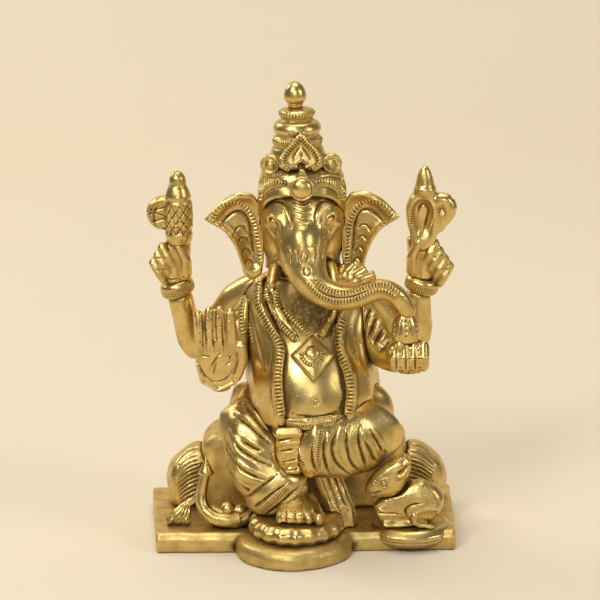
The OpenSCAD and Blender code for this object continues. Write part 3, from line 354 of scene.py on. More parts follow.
def cast(name, nodes, cell, passes):
    """One even skin over copies of the named nodes, which it then stands for. The cell is in millimetres."""
    metal = bmesh.new()
    for node in nodes:
        metal.from_mesh(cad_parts[node].data)
    bmesh.ops.remove_doubles(metal, verts=metal.verts, dist=0.002 * MM)
    piece = piece_of(name + "_form", metal)
    pick(piece)
    piece.data.remesh_voxel_size = cell * MM
    bpy.ops.object.voxel_remesh()
    rub(piece, passes)
    bpy.ops.object.modifier_add(type="SUBSURF")
    finer = piece.modifiers[-1]
    finer.levels = finer.render_levels = 1
    bpy.ops.object.modifier_apply(modifier=finer.name)
    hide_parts(*nodes)
    return piece


# Painted shade: the torso is darkened round a point under the head and trunk, where shade falls.
painted_shade_spots = {"torso_form": ((2.0, -12.5, 80.5), 14.0, 0.85)}     # where, how far in mm and how much


def waxed_hollows(piece, passes=5, gain=9.0):
    """Stores each point's depth under its surroundings, 0 on a flat to 1 in a groove, plus painted shade spots."""
    edges, count = edges_of(piece)
    points = points_of(piece)
    smooth = points.copy()
    for _ in range(passes):
        smooth += 0.6 * (neighbour_mean(smooth, edges, count) - smooth)
    depth = np.einsum("ij,ij->i", smooth - points, normals_of(piece)) / MM
    caught = np.clip(depth * gain, 0, 1)
    # painted shade spot, darkest at its middle
    if piece.name in painted_shade_spots:
        centre, reach, amount = painted_shade_spots[piece.name]
        far = np.linalg.norm(points - np.array(centre) * MM, axis=1) / (reach * MM)
        caught = np.maximum(caught, amount * np.clip(1.6 * (1 - far), 0, 1))
    hollow = piece.data.attributes.new("hollow", "FLOAT", "POINT")
    hollow.data.foreach_set("value", caught.astype(np.float32))


finished = []


def finish_piece(piece, metal=polished, passes=5, gain=9.0):
    """Wax and painted shade, metal, smooth shading and a place on the body."""
    waxed_hollows(piece, passes, gain)
    piece.data.materials.clear()
    piece.data.materials.append(metal)
    piece.data.shade_smooth()
    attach(piece, "root")
    finished.append(piece.name)
    return piece


# %% [markdown]
# The founder's chaser cuts the wax with a few tools, and so does this cell. Every line is drawn as shares of a
# node's box, across and up, and is dropped on the form from the front. A narrow line cuts a groove, a wide
# line with a negative depth raises a fold or a brow, and one point alone makes a dimple or a boss. Ribbed braid is
# too fine for the skin's own squares, so it is laid on as a closed strip with its ribs already in it.

# %% Chasing tools
off = 0.02              # how far outside a node's box a line starts before it is dropped on the form
taper, fading = 0.22, 0.35      # shares of a line's length over which it narrows, and a broad one fades
broad = 6               # millimetres


def skin_tree(*pieces):
    """A search tree over the pieces' faces."""
    mesh = bmesh.new()
    for piece in pieces:
        mesh.from_mesh(piece.data)
    tree = BVHTree.FromBMesh(mesh)
    mesh.free()
    return tree


def spline(knots, steps):
    """A smooth line through the knots, and which knot each point follows and how far on it is."""
    padded = np.vstack([2 * knots[0] - knots[1], knots, 2 * knots[-1] - knots[-2]])
    line, spots = [], []
    for i in range(len(knots) - 1):
        p0, p1, p2, p3 = padded[i:i + 4]
        for t in np.linspace(0, 1, steps, endpoint=i == len(knots) - 2):
            line.append(0.5 * (2 * p1 + (p2 - p0) * t + (2 * p0 - 5 * p1 + 4 * p2 - p3) * t ** 2
                               + (3 * p1 - p0 - 3 * p2 + p3) * t ** 3))
            spots.append((i, t))
    return np.array(line), spots


def run_of(line):
    """How far along a line each of its points is."""
    return np.concatenate([[0], np.cumsum(np.linalg.norm(np.diff(line, axis=0), axis=1))])


def curve_through(shares, count):
    """A smooth line through a few points, evenly sampled."""
    knots = np.array(shares, float)
    if len(knots) == 1:
        return knots
    dense, _ = spline(knots, 24)
    run = run_of(dense)
    even = np.linspace(0, run[-1], count)
    return np.stack([np.interp(even, run, dense[:, k]) for k in (0, 1)], axis=1)


def evened(rows, passes=2):
    """Takes the jumps out of a run of rows."""
    for _ in range(passes):
        if len(rows) > 4:
            rows[1:-1] = (rows[:-2] + 2 * rows[1:-1] + rows[2:]) / 4
    return rows


def lay_line(tree, node, shares, step=0.35, behind=False):
    """Places, directions and outward directions along a line on a form's front, or on its back."""
    low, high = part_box(node)
    wide, tall = high.x - low.x, high.z - low.z
    rough = np.array(shares, float) * (wide, tall)
    count = max(2, int(run_of(rough)[-1] / (step * MM))) if len(rough) > 1 else 1
    inward = Vector((0, -1 if behind else 1, 0))
    outside = high.y + off if behind else low.y - off
    at, out = [], []
    for across, up in curve_through(shares, count):
        start = Vector((low.x + across * wide, outside, low.z + up * tall))
        hit, normal, _, _ = tree.ray_cast(start, inward)
        if hit is None:
            hit, normal, _, _ = tree.find_nearest(start + inward * (off + (high.y - low.y) * 0.4))
        at.append(hit)
        out.append(normal)
    at, out = evened(np.array(at)), evened(np.array(out), 6)
    out /= np.linalg.norm(out, axis=1)[:, None]
    along = np.gradient(at, axis=0) if count > 2 else np.tile((1.0, 0, 0), (len(at), 1))
    along /= np.maximum(np.linalg.norm(along, axis=1), 1e-9)[:, None]
    return at, along, out


def chase(piece, node, *strokes, behind=False):
    """Cuts each (line, width, depth) into a piece, or raises it where the depth is negative."""
    tree = skin_tree(piece)
    points, normals = points_of(piece), normals_of(piece)
    lowered, raised = np.zeros(len(points)), np.zeros(len(points))
    for shares, width, depth in strokes:
        at, _, out = lay_line(tree, node, shares, behind=behind)
        reach = width * MM / 2
        slim, fade = np.ones(len(at)), np.ones(len(at))
        if len(at) > 2:
            run = np.linspace(0, 1, len(at))
            to_end = np.minimum(run, 1 - run)
            slim = np.clip(to_end / taper, 0.4, 1)
            fade = np.clip(to_end / fading, 0, 1) if width > broad else slim ** 0.5
        near = np.all((points > at.min(0) - reach) & (points < at.max(0) + reach), axis=1).nonzero()[0]
        for part in np.array_split(near, len(near) // 4000 + 1):
            gaps = np.linalg.norm(points[part][:, None] - at[None], axis=2) / (reach * slim)
            which = gaps.argmin(1)
            ease = np.clip(1 - gaps[np.arange(len(part)), which], 0, 1)
            facing = np.clip(np.einsum("ij,ij->i", normals[part], out[which]) * 3, 0, 1)
            work = ease * ease * (3 - 2 * ease) * facing * abs(depth) * MM * fade[which]
            target = lowered if depth > 0 else raised
            target[part] = np.maximum(target[part], work)
    set_points(piece, points + normals * (raised - lowered)[:, None])
    rub(piece, 2)


def draw(*steps):
    """A line or a few places, in pairs of hundredths of a node's width and height."""
    return [(across / 100, up / 100) for across, up in zip(steps[::2], steps[1::2])]


def cuts(lines, width, depth):
    """The same tool for several lines, ready for chase."""
    return [(line, width, depth) for line in lines]


def between(first, last, count):
    """Lines that turn step by step from one line into another."""
    first, last = np.array(first, float), np.array(last, float)
    return [(first + (last - first) * t).tolist() for t in np.linspace(0, 1, count)]


def smile(x, z, half, sag):
    """A short line that hangs a little in its middle."""
    return [(x - half, z), (x, z - sag), (x + half, z)]


def flipped(shares):
    """The same line on the other side."""
    return [(1 - across, up) for across, up in shares]


def closed_rows(name, rows):
    """A closed tube through rows of points, shut at both ends."""
    count, around = rows.shape[:2]
    mesh = bmesh.new()
    verts = [mesh.verts.new(p) for p in rows.reshape(-1, 3)]
    for i in range(count - 1):
        for j in range(around):
            k = (j + 1) % around
            mesh.faces.new((verts[i * around + j], verts[i * around + k],
                            verts[(i + 1) * around + k], verts[(i + 1) * around + j]))
    mesh.faces.new(verts[:around])
    mesh.faces.new(verts[-around:])
    bmesh.ops.recalc_face_normals(mesh, faces=mesh.faces)
    return piece_of(name, mesh)


def braid(name, over, node, shares, width=2.0, height=0.7, pitch=1.0, slant=0.0, cut=0.75, rim=0.0,
          behind=False):
    """A strip of ribs that follows a line over a piece, or over several.

    Width, height and pitch are in millimetres. Slant leans the ribs, cut is how deep they go as a share of the
    height, and rim leaves a plain edge.
    """
    under = over if isinstance(over, tuple) else (over,)
    at, along, out = lay_line(skin_tree(*under), node, shares, pitch / 7, behind)
    side_way = np.cross(along, out)
    half = width * MM / 2
    columns = np.array([-1, -0.92, -0.72, -0.5, -0.25, 0, 0.25, 0.5, 0.72, 0.92, 1])
    run = run_of(at)
    ends = np.clip(np.minimum(run, run[-1] - run) / (0.8 * MM), 0, 1)[:, None]
    ribs = 0.5 + 0.5 * np.cos(TAU * (run[:, None] + slant * columns * half) / (pitch * MM))
    ribbed = np.where(np.abs(columns) > 1 - rim, 1.0, 1 - cut * (1 - ribs ** 0.7))
    rise = (1 - np.abs(columns) ** 3.2) * ribbed * height * MM * (0.25 + 0.75 * ends) - 0.12 * MM
    slim = half * (0.6 + 0.4 * ends)
    top = at[:, None] + side_way[:, None] * (columns * slim)[:, :, None] + out[:, None] * rise[:, :, None]
    sunk = [(at + side_way * slim * end * 0.9 - out * 0.5 * MM)[:, None] for end in (1, -1)]
    return finish_piece(closed_rows(name, np.concatenate([top] + sunk, axis=1)), gain=20)


def rope(name, path, radii, flat=1.0):
    """A smooth closed tube through points in millimetres, with its own radius at each point."""
    path, radii = np.array(path, float) * MM, np.array(radii, float) * MM
    at, spots = spline(path, 12)
    thick = np.array([radii[i] + (radii[i + 1] - radii[i]) * (t * t * (3 - 2 * t)) for i, t in spots])
    along = np.gradient(at, axis=0)
    along /= np.linalg.norm(along, axis=1)[:, None]
    across = np.cross(along, (0.0, 1.0, 0.0))
    across /= np.linalg.norm(across, axis=1)[:, None]
    out = np.cross(along, across)
    angle = np.linspace(0, TAU, 24, endpoint=False)
    rows = at[:, None] + thick[:, None, None] * (across[:, None] * np.cos(angle)[:, None]
                                                 + out[:, None] * np.sin(angle)[:, None] * flat)
    return closed_rows(name, rows)


def plate(name, over, node, outline, rise):
    """A raised plate that follows a form. Rise is its height in millimetres at each share of the way out."""
    tree = skin_tree(over)
    low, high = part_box(node)
    corners = np.array(outline, float)
    sides = [corners + (np.roll(corners, -1, 0) - corners) * t for t in np.linspace(0, 1, 9)[:-1]]
    rim = np.stack(sides, axis=1).reshape(-1, 2)
    middle = corners.mean(0)
    wide, tall = high.x - low.x, high.z - low.z
    mesh = bmesh.new()
    rings = []
    for share, lift in rise:
        ring = []
        for across, up in (middle + (rim - middle) * share if share else middle[None]):
            start = Vector((low.x + across * wide, low.y - off, low.z + up * tall))
            hit, normal, _, _ = tree.ray_cast(start, Vector((0, 1, 0)))
            ring.append(mesh.verts.new(hit + normal * lift * MM))
        rings.append(ring)
    for inner, outer in zip(rings, rings[1:]):
        for i in range(len(rim)):
            j = (i + 1) % len(rim)
            if len(inner) == 1:
                mesh.faces.new((inner[0], outer[i], outer[j]))
            elif len(outer) == 1:
                mesh.faces.new((inner[i], outer[0], inner[j]))
            else:
                mesh.faces.new((inner[i], outer[i], outer[j], inner[j]))
    bmesh.ops.recalc_face_normals(mesh, faces=mesh.faces)
    return piece_of(name, mesh)


def resize(piece, factor, shift, pivot):
    """Scales a piece about a point and moves it."""
    pivot = np.array(pivot)
    set_points(piece, (points_of(piece) - pivot) * factor + pivot + np.array(shift) * MM)


def stud(name, over, node, share, radius, rise=0.6, ring=False, stretch=1.0, turn_by=0.0):
    """A small boss on a piece, or a ring."""
    at, _, out = lay_line(skin_tree(over), node, [share])
    spin = Matrix.Rotation(math.radians(turn_by), 4, "Z")
    turn = (Vector(out[0]).to_track_quat("Z", "Y").to_matrix().to_4x4() @ spin).to_euler()
    bpy.ops.object.select_all(action="DESELECT")
    if ring:
        bpy.ops.mesh.primitive_torus_add(location=at[0], rotation=turn, major_radius=radius * MM,
                                         minor_radius=rise * MM, major_segments=48, minor_segments=12)
        bpy.context.object.scale = (1, stretch, 1)
    else:
        bpy.ops.mesh.primitive_uv_sphere_add(location=at[0], rotation=turn, radius=radius * MM,
                                             segments=32, ring_count=16, scale=(1, stretch, rise))
    boss = bpy.context.object
    boss.name = name
    bpy.ops.object.transform_apply(location=True, rotation=True, scale=True)
    return finish_piece(boss)


def mill(piece, centre, axis, band, count, depth, twist=0.0, sharp=1.0):
    """Files ribs round a turned piece, between two heights along its axis."""
    points, normals = points_of(piece), normals_of(piece)
    axis = Vector(axis).normalized()
    first = axis.orthogonal().normalized()
    second = axis.cross(first)
    apart = points - np.array(centre)
    up = apart @ np.array(axis) / MM
    angle = np.arctan2(apart @ np.array(second), apart @ np.array(first))
    wave = np.maximum(0, np.cos(count * angle + twist * up)) ** sharp
    window = np.clip(np.minimum(up - band[0], band[1] - up) / 0.35, 0, 1)
    set_points(piece, points - normals * (wave * window * depth * MM)[:, None])


print("tools: chase, braid, rope, plate, stud, mill")

# %% [markdown]
# All the forms are cast in one go, fine ones with small squares and broad ones with larger squares, so that the
# broad ones come out smoother. The plinth, the seat and the cushions are made slightly uneven. The head and the
# trunk share one skin, because the trunk grows out of the brow.

# %% Every form
fine_skin = (0.42, 8)       # the size of its squares in millimetres, and how often it is rubbed
arm_skin, cushion_skin, ear_skin = (0.9, 34), (0.9, 44), (0.6, 40)
skins = {"torso": (1.3, 70), "shawl": (0.95, 22), "cloth_fall": (0.6, 16), "crown_cap": (0.6, 22),
         "right_leg": (0.85, 40), "left_leg": (0.85, 46), "right_rear_arm": arm_skin, "left_rear_arm": arm_skin,
         "blessing_arm": arm_skin, "offering_arm": arm_skin, "right_cushion": cushion_skin,
         "left_cushion": cushion_skin, "right_ear": ear_skin, "left_ear": ear_skin,
         "blessing_hand": (0.40, 10), "crown_tiers": (0.48, 8), "axe": (0.46, 8), "noose": (0.45, 22),
         "base_plinth": (1.1, 3), "seat_block": (1.2, 8), "lotus_footrest": (0.58, 8),
         "mouse_pad": (0.5, 4), "mouse_body": (0.5, 16)}
forms = {node: cast(node, [node], *skins.get(node, fine_skin))
         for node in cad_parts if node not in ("head", "trunk")}
unevenness = {"base_plinth": 0.25, "seat_block": 0.25, "right_cushion": 0.2, "left_cushion": 0.2}
for node, depth in unevenness.items():
    worn(forms[node], depth, 9)
underside = points_of(forms["base_plinth"])
underside[:, 2] = np.maximum(underside[:, 2], 0)
set_points(forms["base_plinth"], underside)
head = forms["head"] = cast("head", ["head", "trunk"], 0.54, 34)
print("forms:", len(forms))

# %% [markdown]
# The face leads the eye, so its lines come first. The forehead is raised and rubbed calm, then come a crease
# round each brow dome, a rimmed eye in each socket, and a pair of pointed ovals down the trunk between curls. Two
# braids follow the trunk, laid on as strips so that every rib stays crisp.

# %% Head and trunk
right_brow = draw(18, 87, 25, 88.5, 32, 85, 37.5, 74, 38.5, 63.5)
left_brow = draw(79.5, 87, 73, 88.5, 69, 83, 66, 74, 66.5, 65.5)
right_eye, left_eye = (0.185, 0.645), (0.815, 0.665)
forehead = draw(50.8, 125, 50.8, 100, 50.8, 75, 50, 45, 49, 20)
chase(head, "head", (forehead, 12.0, -1.8))
for z in (0.86, 0.76, 0.66):
    calm(head, "head", (0.505, z), 6.0, 90)
chase(head, "head",
      *cuts([right_brow, left_brow], 1.5, 0.7), *cuts([[right_eye], [left_eye]], 6.5, 0.4),
      (draw(24, 25, 24.5, 13), 5.5, -1.2))
chase(head, "head", *cuts([draw(15, 49, 22, 46, 29, 48),
                           draw(72, 50, 79, 48, 86, 52)], 1.1, 0.3))
for name, spot, lean in (("right_eye", right_eye, 26), ("left_eye", left_eye, -26)):
    stud(name, head, "head", spot, 1.2, 0.85, stretch=1.6, turn_by=lean)
    stud(name + "_lid", head, "head", spot, 1.9, 0.42, ring=True, stretch=1.55, turn_by=lean)

ovals = [draw(20.5, 72, 17.5, 64, 20.5, 57.5), draw(20.5, 72, 23.5, 64, 20.5, 57.5),
         draw(22, 56.5, 19.5, 51, 22.2, 44.5), draw(22, 56.5, 25, 51, 22.2, 44.5)]
curls = [draw(7, 71.5, 9.5, 74.5, 11.5, 70, 11, 62, 11.5, 55),
         draw(13, 71, 15, 73, 16, 66, 16, 58),
         draw(24, 73, 26.5, 75.5, 29, 74, 29, 64, 27, 58),
         draw(30, 66, 33, 68, 33.5, 61, 32, 55)]
chase(head, "trunk", *cuts(ovals, 0.95, 0.5), *cuts(curls, 0.9, 0.4),
      (draw(25, 43, 29, 36, 34.5, 29.5, 41, 26, 48.5, 25.5, 56, 27.5, 62.5, 31.5, 70, 35.2, 77, 35.5,
            82.5, 31.5, 87, 26), 1.3, 0.6))
braid("trunk_upper_braid", head, "trunk",
      draw(29, 46, 30, 40, 35, 34.5, 41, 31, 48.5, 30, 56, 32, 62.5, 35.5, 70, 38.5, 77.5, 38.5, 83, 34.5,
           88, 28), width=2.5, height=0.7, pitch=1.05)
braid("trunk_lower_braid", head, "trunk",
      draw(21, 40, 25, 34.5, 29.5, 28, 35, 24, 41, 21, 48.5, 21.5, 56, 23.5, 62.5, 27.5, 70, 32, 76.5, 32.5,
           82, 29, 86, 24), width=2.1, height=0.6,
      pitch=1.05)
finish_piece(head)
print("head points:", len(head.data.vertices))

# %% [markdown]
# The ears hang like fans. A braid runs round each rim, a deep groove parts the rim from the blade, and four arcs
# wrinkle the blade, each darker than the rest because wax collects under its edge. The lines are drawn once, for
# the figure's right ear, and turned over for its left.

# %% Ears
rim_line = draw(13, 67.5, 22, 77.5, 34, 84.5, 47, 87, 60, 86, 71, 80, 80, 71.5, 86, 60, 88.5, 47, 90.5, 33,
                91.5, 20)
blade_edge = draw(24, 60, 40, 71, 55, 77, 68, 75, 76, 66, 79, 52, 81, 38, 84, 20)
wrinkles = [draw(50, 52, 57, 60, 67, 60, 73.5, 54),
            draw(56, 41, 63, 48.5, 72, 46.5, 77.5, 40),
            draw(62, 30, 69, 36.5, 76, 33, 80, 27),
            draw(68, 19, 74, 24.5, 80, 21, 83, 16)]
for node, turn in (("right_ear", list), ("left_ear", flipped)):
    ear = forms[node]
    chase(ear, node, (turn(blade_edge), 1.8, 0.6), *cuts(map(turn, wrinkles), 1.2, 0.4))
    braid(node + "_braid", ear, node, turn(rim_line), width=2.6, height=0.5, pitch=1.25)

# %% [markdown]
# The crown is built up from turned rings over a cap. The cap's middle tab is sunk behind the forehead, which four
# plain folds then cross. Each arch over an eye carries a braid with a plain lip under it, the leaf has a braided
# inner edge, and the rings are filed with ribs that differ from ring to ring.

# %% Crown
cap = forms["crown_cap"]
arches = {"right": draw(8.5, 38, 9, 47, 10, 57.5, 14, 68.5, 20, 76, 26.5, 80, 32.5, 79, 37, 77.5),
          "left": draw(92, 37, 90.5, 52, 87, 63, 82, 72, 75.5, 78.5, 69.5, 80, 64.5, 78.5)}
tab_middle, tab_half, tab_edge = 0.5, 4.2, 3        # across, in millimetres
tab_front, tab_ease, sunk_by = -8, 2, 6             # towards the front, in millimetres
under_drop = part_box("forehead_drop")[0].z
tab = points_of(cap)
aside = np.clip(1 - (np.abs(tab[:, 0] / MM - tab_middle) - tab_half) / tab_edge, 0, 1)
below = np.clip(1 + (under_drop - tab[:, 2]) / (1.5 * MM), 0, 1)
front = np.clip((tab_front * MM - tab[:, 1]) / (tab_ease * MM), 0, 1)
tab[:, 1] += sunk_by * MM * aside * below * front
set_points(cap, tab)
for row, z in enumerate((0.85, 0.79, 0.73, 0.67)):
    braid("brow_fold_%d" % row, head, "head",
          [(0.405, z + 0.036), (0.455, z + 0.01), (0.51, z), (0.565, z + 0.01), (0.615, z + 0.036)],
          width=1.25, height=0.62, pitch=1.4, cut=0.0)
chase(cap, "crown_cap",
      *cuts([draw(5, 45, 6, 60, 11, 76, 20, 86, 32, 88),
             draw(95, 45, 94, 60, 89, 76, 80, 86, 70, 88)], 1.3, 0.6),
      *cuts([draw(12.5, 40, 15, 56, 22, 67, 30, 72, 37, 71),
             draw(87, 40, 85, 54, 79, 66, 71, 72, 64, 71)], 1.0, 0.5))
for side, line in arches.items():
    braid(side + "_arch_braid", cap, "crown_cap", line, width=2.6, height=1.0, pitch=1.05)
braid("cap_side_braid", cap, "crown_cap", draw(90, 92, 94, 78, 96.5, 62, 96.5, 48),
      width=2.3, height=0.8, pitch=1.05)
braid("cap_brow_braid", cap, "crown_cap", draw(30, 94, 24, 90, 17, 83, 12, 74),
      width=1.7, height=0.7, pitch=1.0)
back_bands = [[(0.10, z), (0.35, z + 0.02), (0.65, z + 0.02), (0.90, z)] for z in (0.30, 0.62)]
chase(cap, "crown_cap", *cuts(back_bands, 1.3, 0.5), behind=True)
braid("cap_back_braid", cap, "crown_cap",
      draw(6, 46, 28, 48, 50, 48.5, 72, 48, 94, 46),
      width=2.4, height=0.8, pitch=1.1, behind=True)

leaf = forms["crown_leaf"]
half_leaf = draw(50, 90, 60, 72, 76, 54, 86, 34, 84, 16, 72, 9, 62, 18)
for side, line in (("left", half_leaf), ("right", flipped(half_leaf))):
    braid("leaf_%s_braid" % side, leaf, "crown_leaf", line, width=2.3, height=0.6, pitch=0.95)
half_heart = draw(50, 66, 60, 50, 68, 34, 66, 22)
chase(leaf, "crown_leaf", *cuts([half_heart, flipped(half_heart)], 1.0, 0.5),
      (draw(50, 50, 50, 24), 0.8, 0.5))
scrolls = forms["crown_scrolls"]
for side, x in (("right", 0.13), ("left", 0.87)):
    stud("scroll_%s_eye" % side, scrolls, "crown_scrolls", (x, 0.48), 1.3, 0.7)

tiers = forms["crown_tiers"]
low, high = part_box("crown_tiers")
axis_foot = ((low.x + high.x) / 2, (low.y + high.y) / 2, low.z)
stack = (high.z - low.z) / MM
ribbed_bands = ((0.36, 0.50, 62, 0.28, 0), (0.84, 0.95, 34, 0.35, 0), (0.03, 0.22, 44, 0.20, 0.9))
for first, last, ribs, depth, twist in ribbed_bands:
    mill(tiers, axis_foot, (0, 0, 1), (first * stack, last * stack), ribs, depth, twist)
stud("tier_bead", tiers, "crown_tiers", (0.62, 0.61), 0.8, 0.7)
stud("tier_ring", tiers, "crown_tiers", (0.40, 0.60), 0.9, 0.2, ring=True)

drop = forms["forehead_drop"]
stud("drop_dome", drop, "forehead_drop", (0.5, 0.42), 3.3, 0.5)
stud("drop_ring", drop, "forehead_drop", (0.5, 0.42), 3.6, 0.45, ring=True)
print("crown pieces done:", len(finished))

# %% [markdown]
# The shawl's borders are broad braids with a plain fold beside them, and a ruff of thick folds stands up behind
# the trunk. On the chest narrower braids run down to the pendant, a raised lozenge that follows the belly. It is
# laid over the torso as a plate, since a flat one would float off the curve.

# %% Shawl and chest
shawl, torso = forms["shawl"], forms["torso"]
right_border = draw(13, 95, 11.5, 90, 12.5, 83, 16.5, 78, 22, 71, 26.5, 66.5, 28.5, 62.5, 27.5, 56.5,
                    26.5, 49, 26.5, 40, 27.5, 32.5, 29, 25)
left_border = draw(74, 79, 70.5, 71, 69, 65, 70, 60, 73, 54.5, 76, 49, 77.5, 42, 77.5, 35, 76, 25)
folds = [draw(6, 84, 9, 72, 14, 60, 17, 48),
         draw(86, 80, 83, 68, 85, 56, 90, 44)]
beside = 0.055
chase(shawl, "shawl", *cuts(folds, 3.4, 0.45),
      *cuts([[(x - beside, z) for x, z in right_border[3:]],
             [(x + beside, z) for x, z in left_border]], 1.3, 0.4))
braid("shawl_shoulder_braid", shawl, "shawl", draw(5.5, 86, 4.5, 78, 5.5, 70, 8, 61),
      width=2.0, height=0.6, pitch=1.2)
arm = forms["blessing_arm"]
braid("sleeve_border_braid", (arm, shawl), "blessing_arm",
      draw(86, 97, 80, 86, 80, 72, 88, 57), width=2.2, height=0.6, pitch=1.2)
ruff_tips = ((14.2, 93.4), (17.6, 93.6), (21.0, 92.4), (24.0, 90.2), (26.4, 87.2))      # millimetres
for i, (x, z) in enumerate(ruff_tips):
    path = [(10.5 + 0.9 * i, -5.5, 83.5), ((11 + x) / 2, -8.0, (z + 86.5) / 2), (x, -5.0, z)]
    finish_piece(rope("neck_fold_%d" % i, path, (1.5, 2.1, 1.7), flat=0.75))
chase(arm, "blessing_arm", *cuts([draw(75, 97, 58, 88, 50, 74),
                                  draw(62, 98, 42, 86, 36, 72)], 1.6, 0.5))
for side, line in (("right", right_border), ("left", left_border)):
    braid("shawl_%s_braid" % side, shawl, "shawl", line, width=3.2, height=0.9, pitch=1.25, rim=0.08)

collars = {"outer": draw(15, 95, 13.8, 89, 15.7, 83, 21.5, 76.5, 30, 71.5, 39, 65.5),
           "inner": draw(23, 93, 22, 87, 25.5, 82.5, 32, 78, 40.5, 73, 47, 68.5),
           "left": draw(88, 90, 84, 83, 76, 76, 67, 70)}
for part, line in collars.items():
    braid("collar_%s_braid" % part, (torso, forms["necklace"]), "torso", line, width=2.5, height=0.7, pitch=1.1,
          rim=0.1)
chase(torso, "torso",
      (draw(53, 33.5, 53, 34.5), 3.2, 0.5),
      (draw(34, 27, 44, 25.5, 55, 25, 66, 26, 76, 29), 1.6, 0.6),
      *cuts(between(draw(58.5, 77.5, 54, 66), draw(68, 75, 66, 65), 4), 1.2, 0.6))
stud("navel_ring", torso, "torso", (0.53, 0.34), 1.25, 0.3, ring=True)
stud("navel_bead", torso, "torso", (0.53, 0.34), 0.7, 0.6)

lozenge = draw(33.5, 57.3, 51, 44.3, 68, 56.2, 50.5, 68.2)
lozenge_rise = [(0, 2.6), (0.3, 2.4), (0.55, 2.2), (0.8, 1.9), (0.93, 1.7), (1.0, 1.2), (1.0, -0.6), (0, -0.6)]
pendant = plate("pendant_plate", torso, "torso", lozenge, lozenge_rise)
chase(pendant, "torso", (draw(37, 55.5, 51, 46.5, 64.5, 56), 0.9, 0.3))
arc = [(0.505 + 0.085 * math.sin(math.radians(a)), 0.602 - 0.058 * math.cos(math.radians(a)))
       for a in range(-100, 101, 25)]
braid("pendant_braid", pendant, "torso", arc, width=2.0, height=0.5, pitch=1.0)
stud("pendant_dome", pendant, "torso", (0.505, 0.604), 2.5, 0.5)
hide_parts("pendant")
bpy.data.objects.remove(forms.pop("pendant"))
finish_piece(pendant)
drapes = between(draw(16, 88, 45, 70, 78, 86), draw(10, 52, 46, 26, 84, 50), 5)
chase(shawl, "shawl", *cuts(drapes, 3.2, 0.8), behind=True)
braid("shawl_back_braid", shawl, "shawl",
      draw(12, 10, 30, 6, 50, 5, 70, 6, 88, 10),
      width=3.0, height=0.8, pitch=1.25, rim=0.08, behind=True)
braid("neck_back_braid", shawl, "shawl",
      draw(14, 95, 32, 96.5, 50, 97, 68, 96.5, 80, 95),
      width=2.6, height=0.7, pitch=1.25, rim=0.08, behind=True)
print("chest pieces done:", len(finished))

# %% [markdown]
# Cloth over the legs falls in curved folds that run out from the belt. Each fold is a wide groove with a rounded
# ridge beside it, and the hems are bands of ribs between plain cords, all cut in the same way as the face.

# %% Legs and hems
def pleated(piece, node, lines, width, depth, lean=(0.0, 0.035)):
    """Grooves, each with a soft ridge along its upper side."""
    ridges = [[(x + lean[0], z + lean[1]) for x, z in line] for line in lines]
    chase(piece, node, *cuts(lines, width, depth), *cuts(ridges, width * 1.4, -depth * 0.4))


right_leg, left_leg = forms["right_leg"], forms["left_leg"]
thigh_folds = [draw(15, 67, 21, 59, 31, 53, 45, 48.5, 59, 44.5),
               draw(7, 57, 14, 49, 24, 42, 36, 37, 52, 34),
               draw(28, 62, 38, 58.5, 50, 55.5),
               draw(19, 30, 29, 25, 38, 23.5),
               draw(40, 89, 50, 82, 59, 76),
               draw(19, 79, 35, 73, 57, 61),
               draw(30, 86, 42, 78, 58, 68),
               draw(10, 40, 16, 33, 24, 28)]
pleated(right_leg, "right_leg", thigh_folds, 1.9, 0.85)
hem_lines = [draw(27, 14, 46, 28, 66, 39), draw(36, 8, 56, 21.5, 76, 32.5),
             draw(50, 2, 70, 16, 90, 29)]
chase(right_leg, "right_leg", *cuts(hem_lines, 1.5, 0.8))
braid("right_hem_braid", right_leg, "right_leg", draw(43, 7, 60, 19, 77, 28.5),
      width=2.6, height=0.6, pitch=0.85, rim=0.12)
braid("right_hem_low_braid", right_leg, "right_leg", draw(66, 11.5, 81, 17.5, 97, 25),
      width=2.2, height=0.6, pitch=0.85, rim=0.12)

knee_folds = [draw(15.5, 50, 16.5, 33, 20, 18),
              draw(28.5, 64, 27, 47, 27.5, 33, 31, 12),
              draw(40, 69, 35, 54, 34.5, 41, 38.5, 26, 49, 10),
              draw(48, 68, 47, 53, 48.5, 39, 51.5, 25, 60, 9),
              draw(58.5, 67, 58, 53, 60, 40, 63, 25, 64, 13),
              draw(63, 51, 68, 39, 71, 28, 75, 20),
              draw(68, 62, 74, 50, 78.5, 36, 81, 30)]
pleated(left_leg, "left_leg", knee_folds, 1.7, 0.9, lean=(0.028, 0.0))
braid("left_hem_braid", left_leg, "left_leg",
      draw(25, 69, 23, 59, 21.5, 45, 22, 31, 24, 16),
      width=2.1, height=0.6, pitch=0.75, rim=0.12)
braid("left_cuff_braid", left_leg, "left_leg",
      draw(5, 66, 3.5, 56, 3.5, 46, 6, 34, 10, 24),
      width=1.8, height=0.55, pitch=0.8, rim=0.12)
braid("belt_braid", forms["waist_belt"], "waist_belt",
      draw(2, 35, 25, 32, 50, 40, 75, 52, 98, 72),
      width=1.9, height=0.5, pitch=0.8, slant=0.4)

fall = forms["cloth_fall"]
fall_lines = between(draw(20, 80, 36, 50, 50, 22), draw(55, 85, 74, 50, 92, 22), 4)
chase(fall, "cloth_fall", *cuts(fall_lines, 1.2, 0.6))
braid("fall_braid", fall, "cloth_fall", draw(30, 78, 45, 50, 62, 20),
      width=1.7, height=0.5, pitch=0.85)
print("legs done:", len(finished))

# %% [markdown]
# The feet and hands are small, so a few deep lines carry them: gaps between the toes, nails, finger joints and the
# palm's creases. Fingers are raised before their joints are cut, and one groove runs round the open palm.

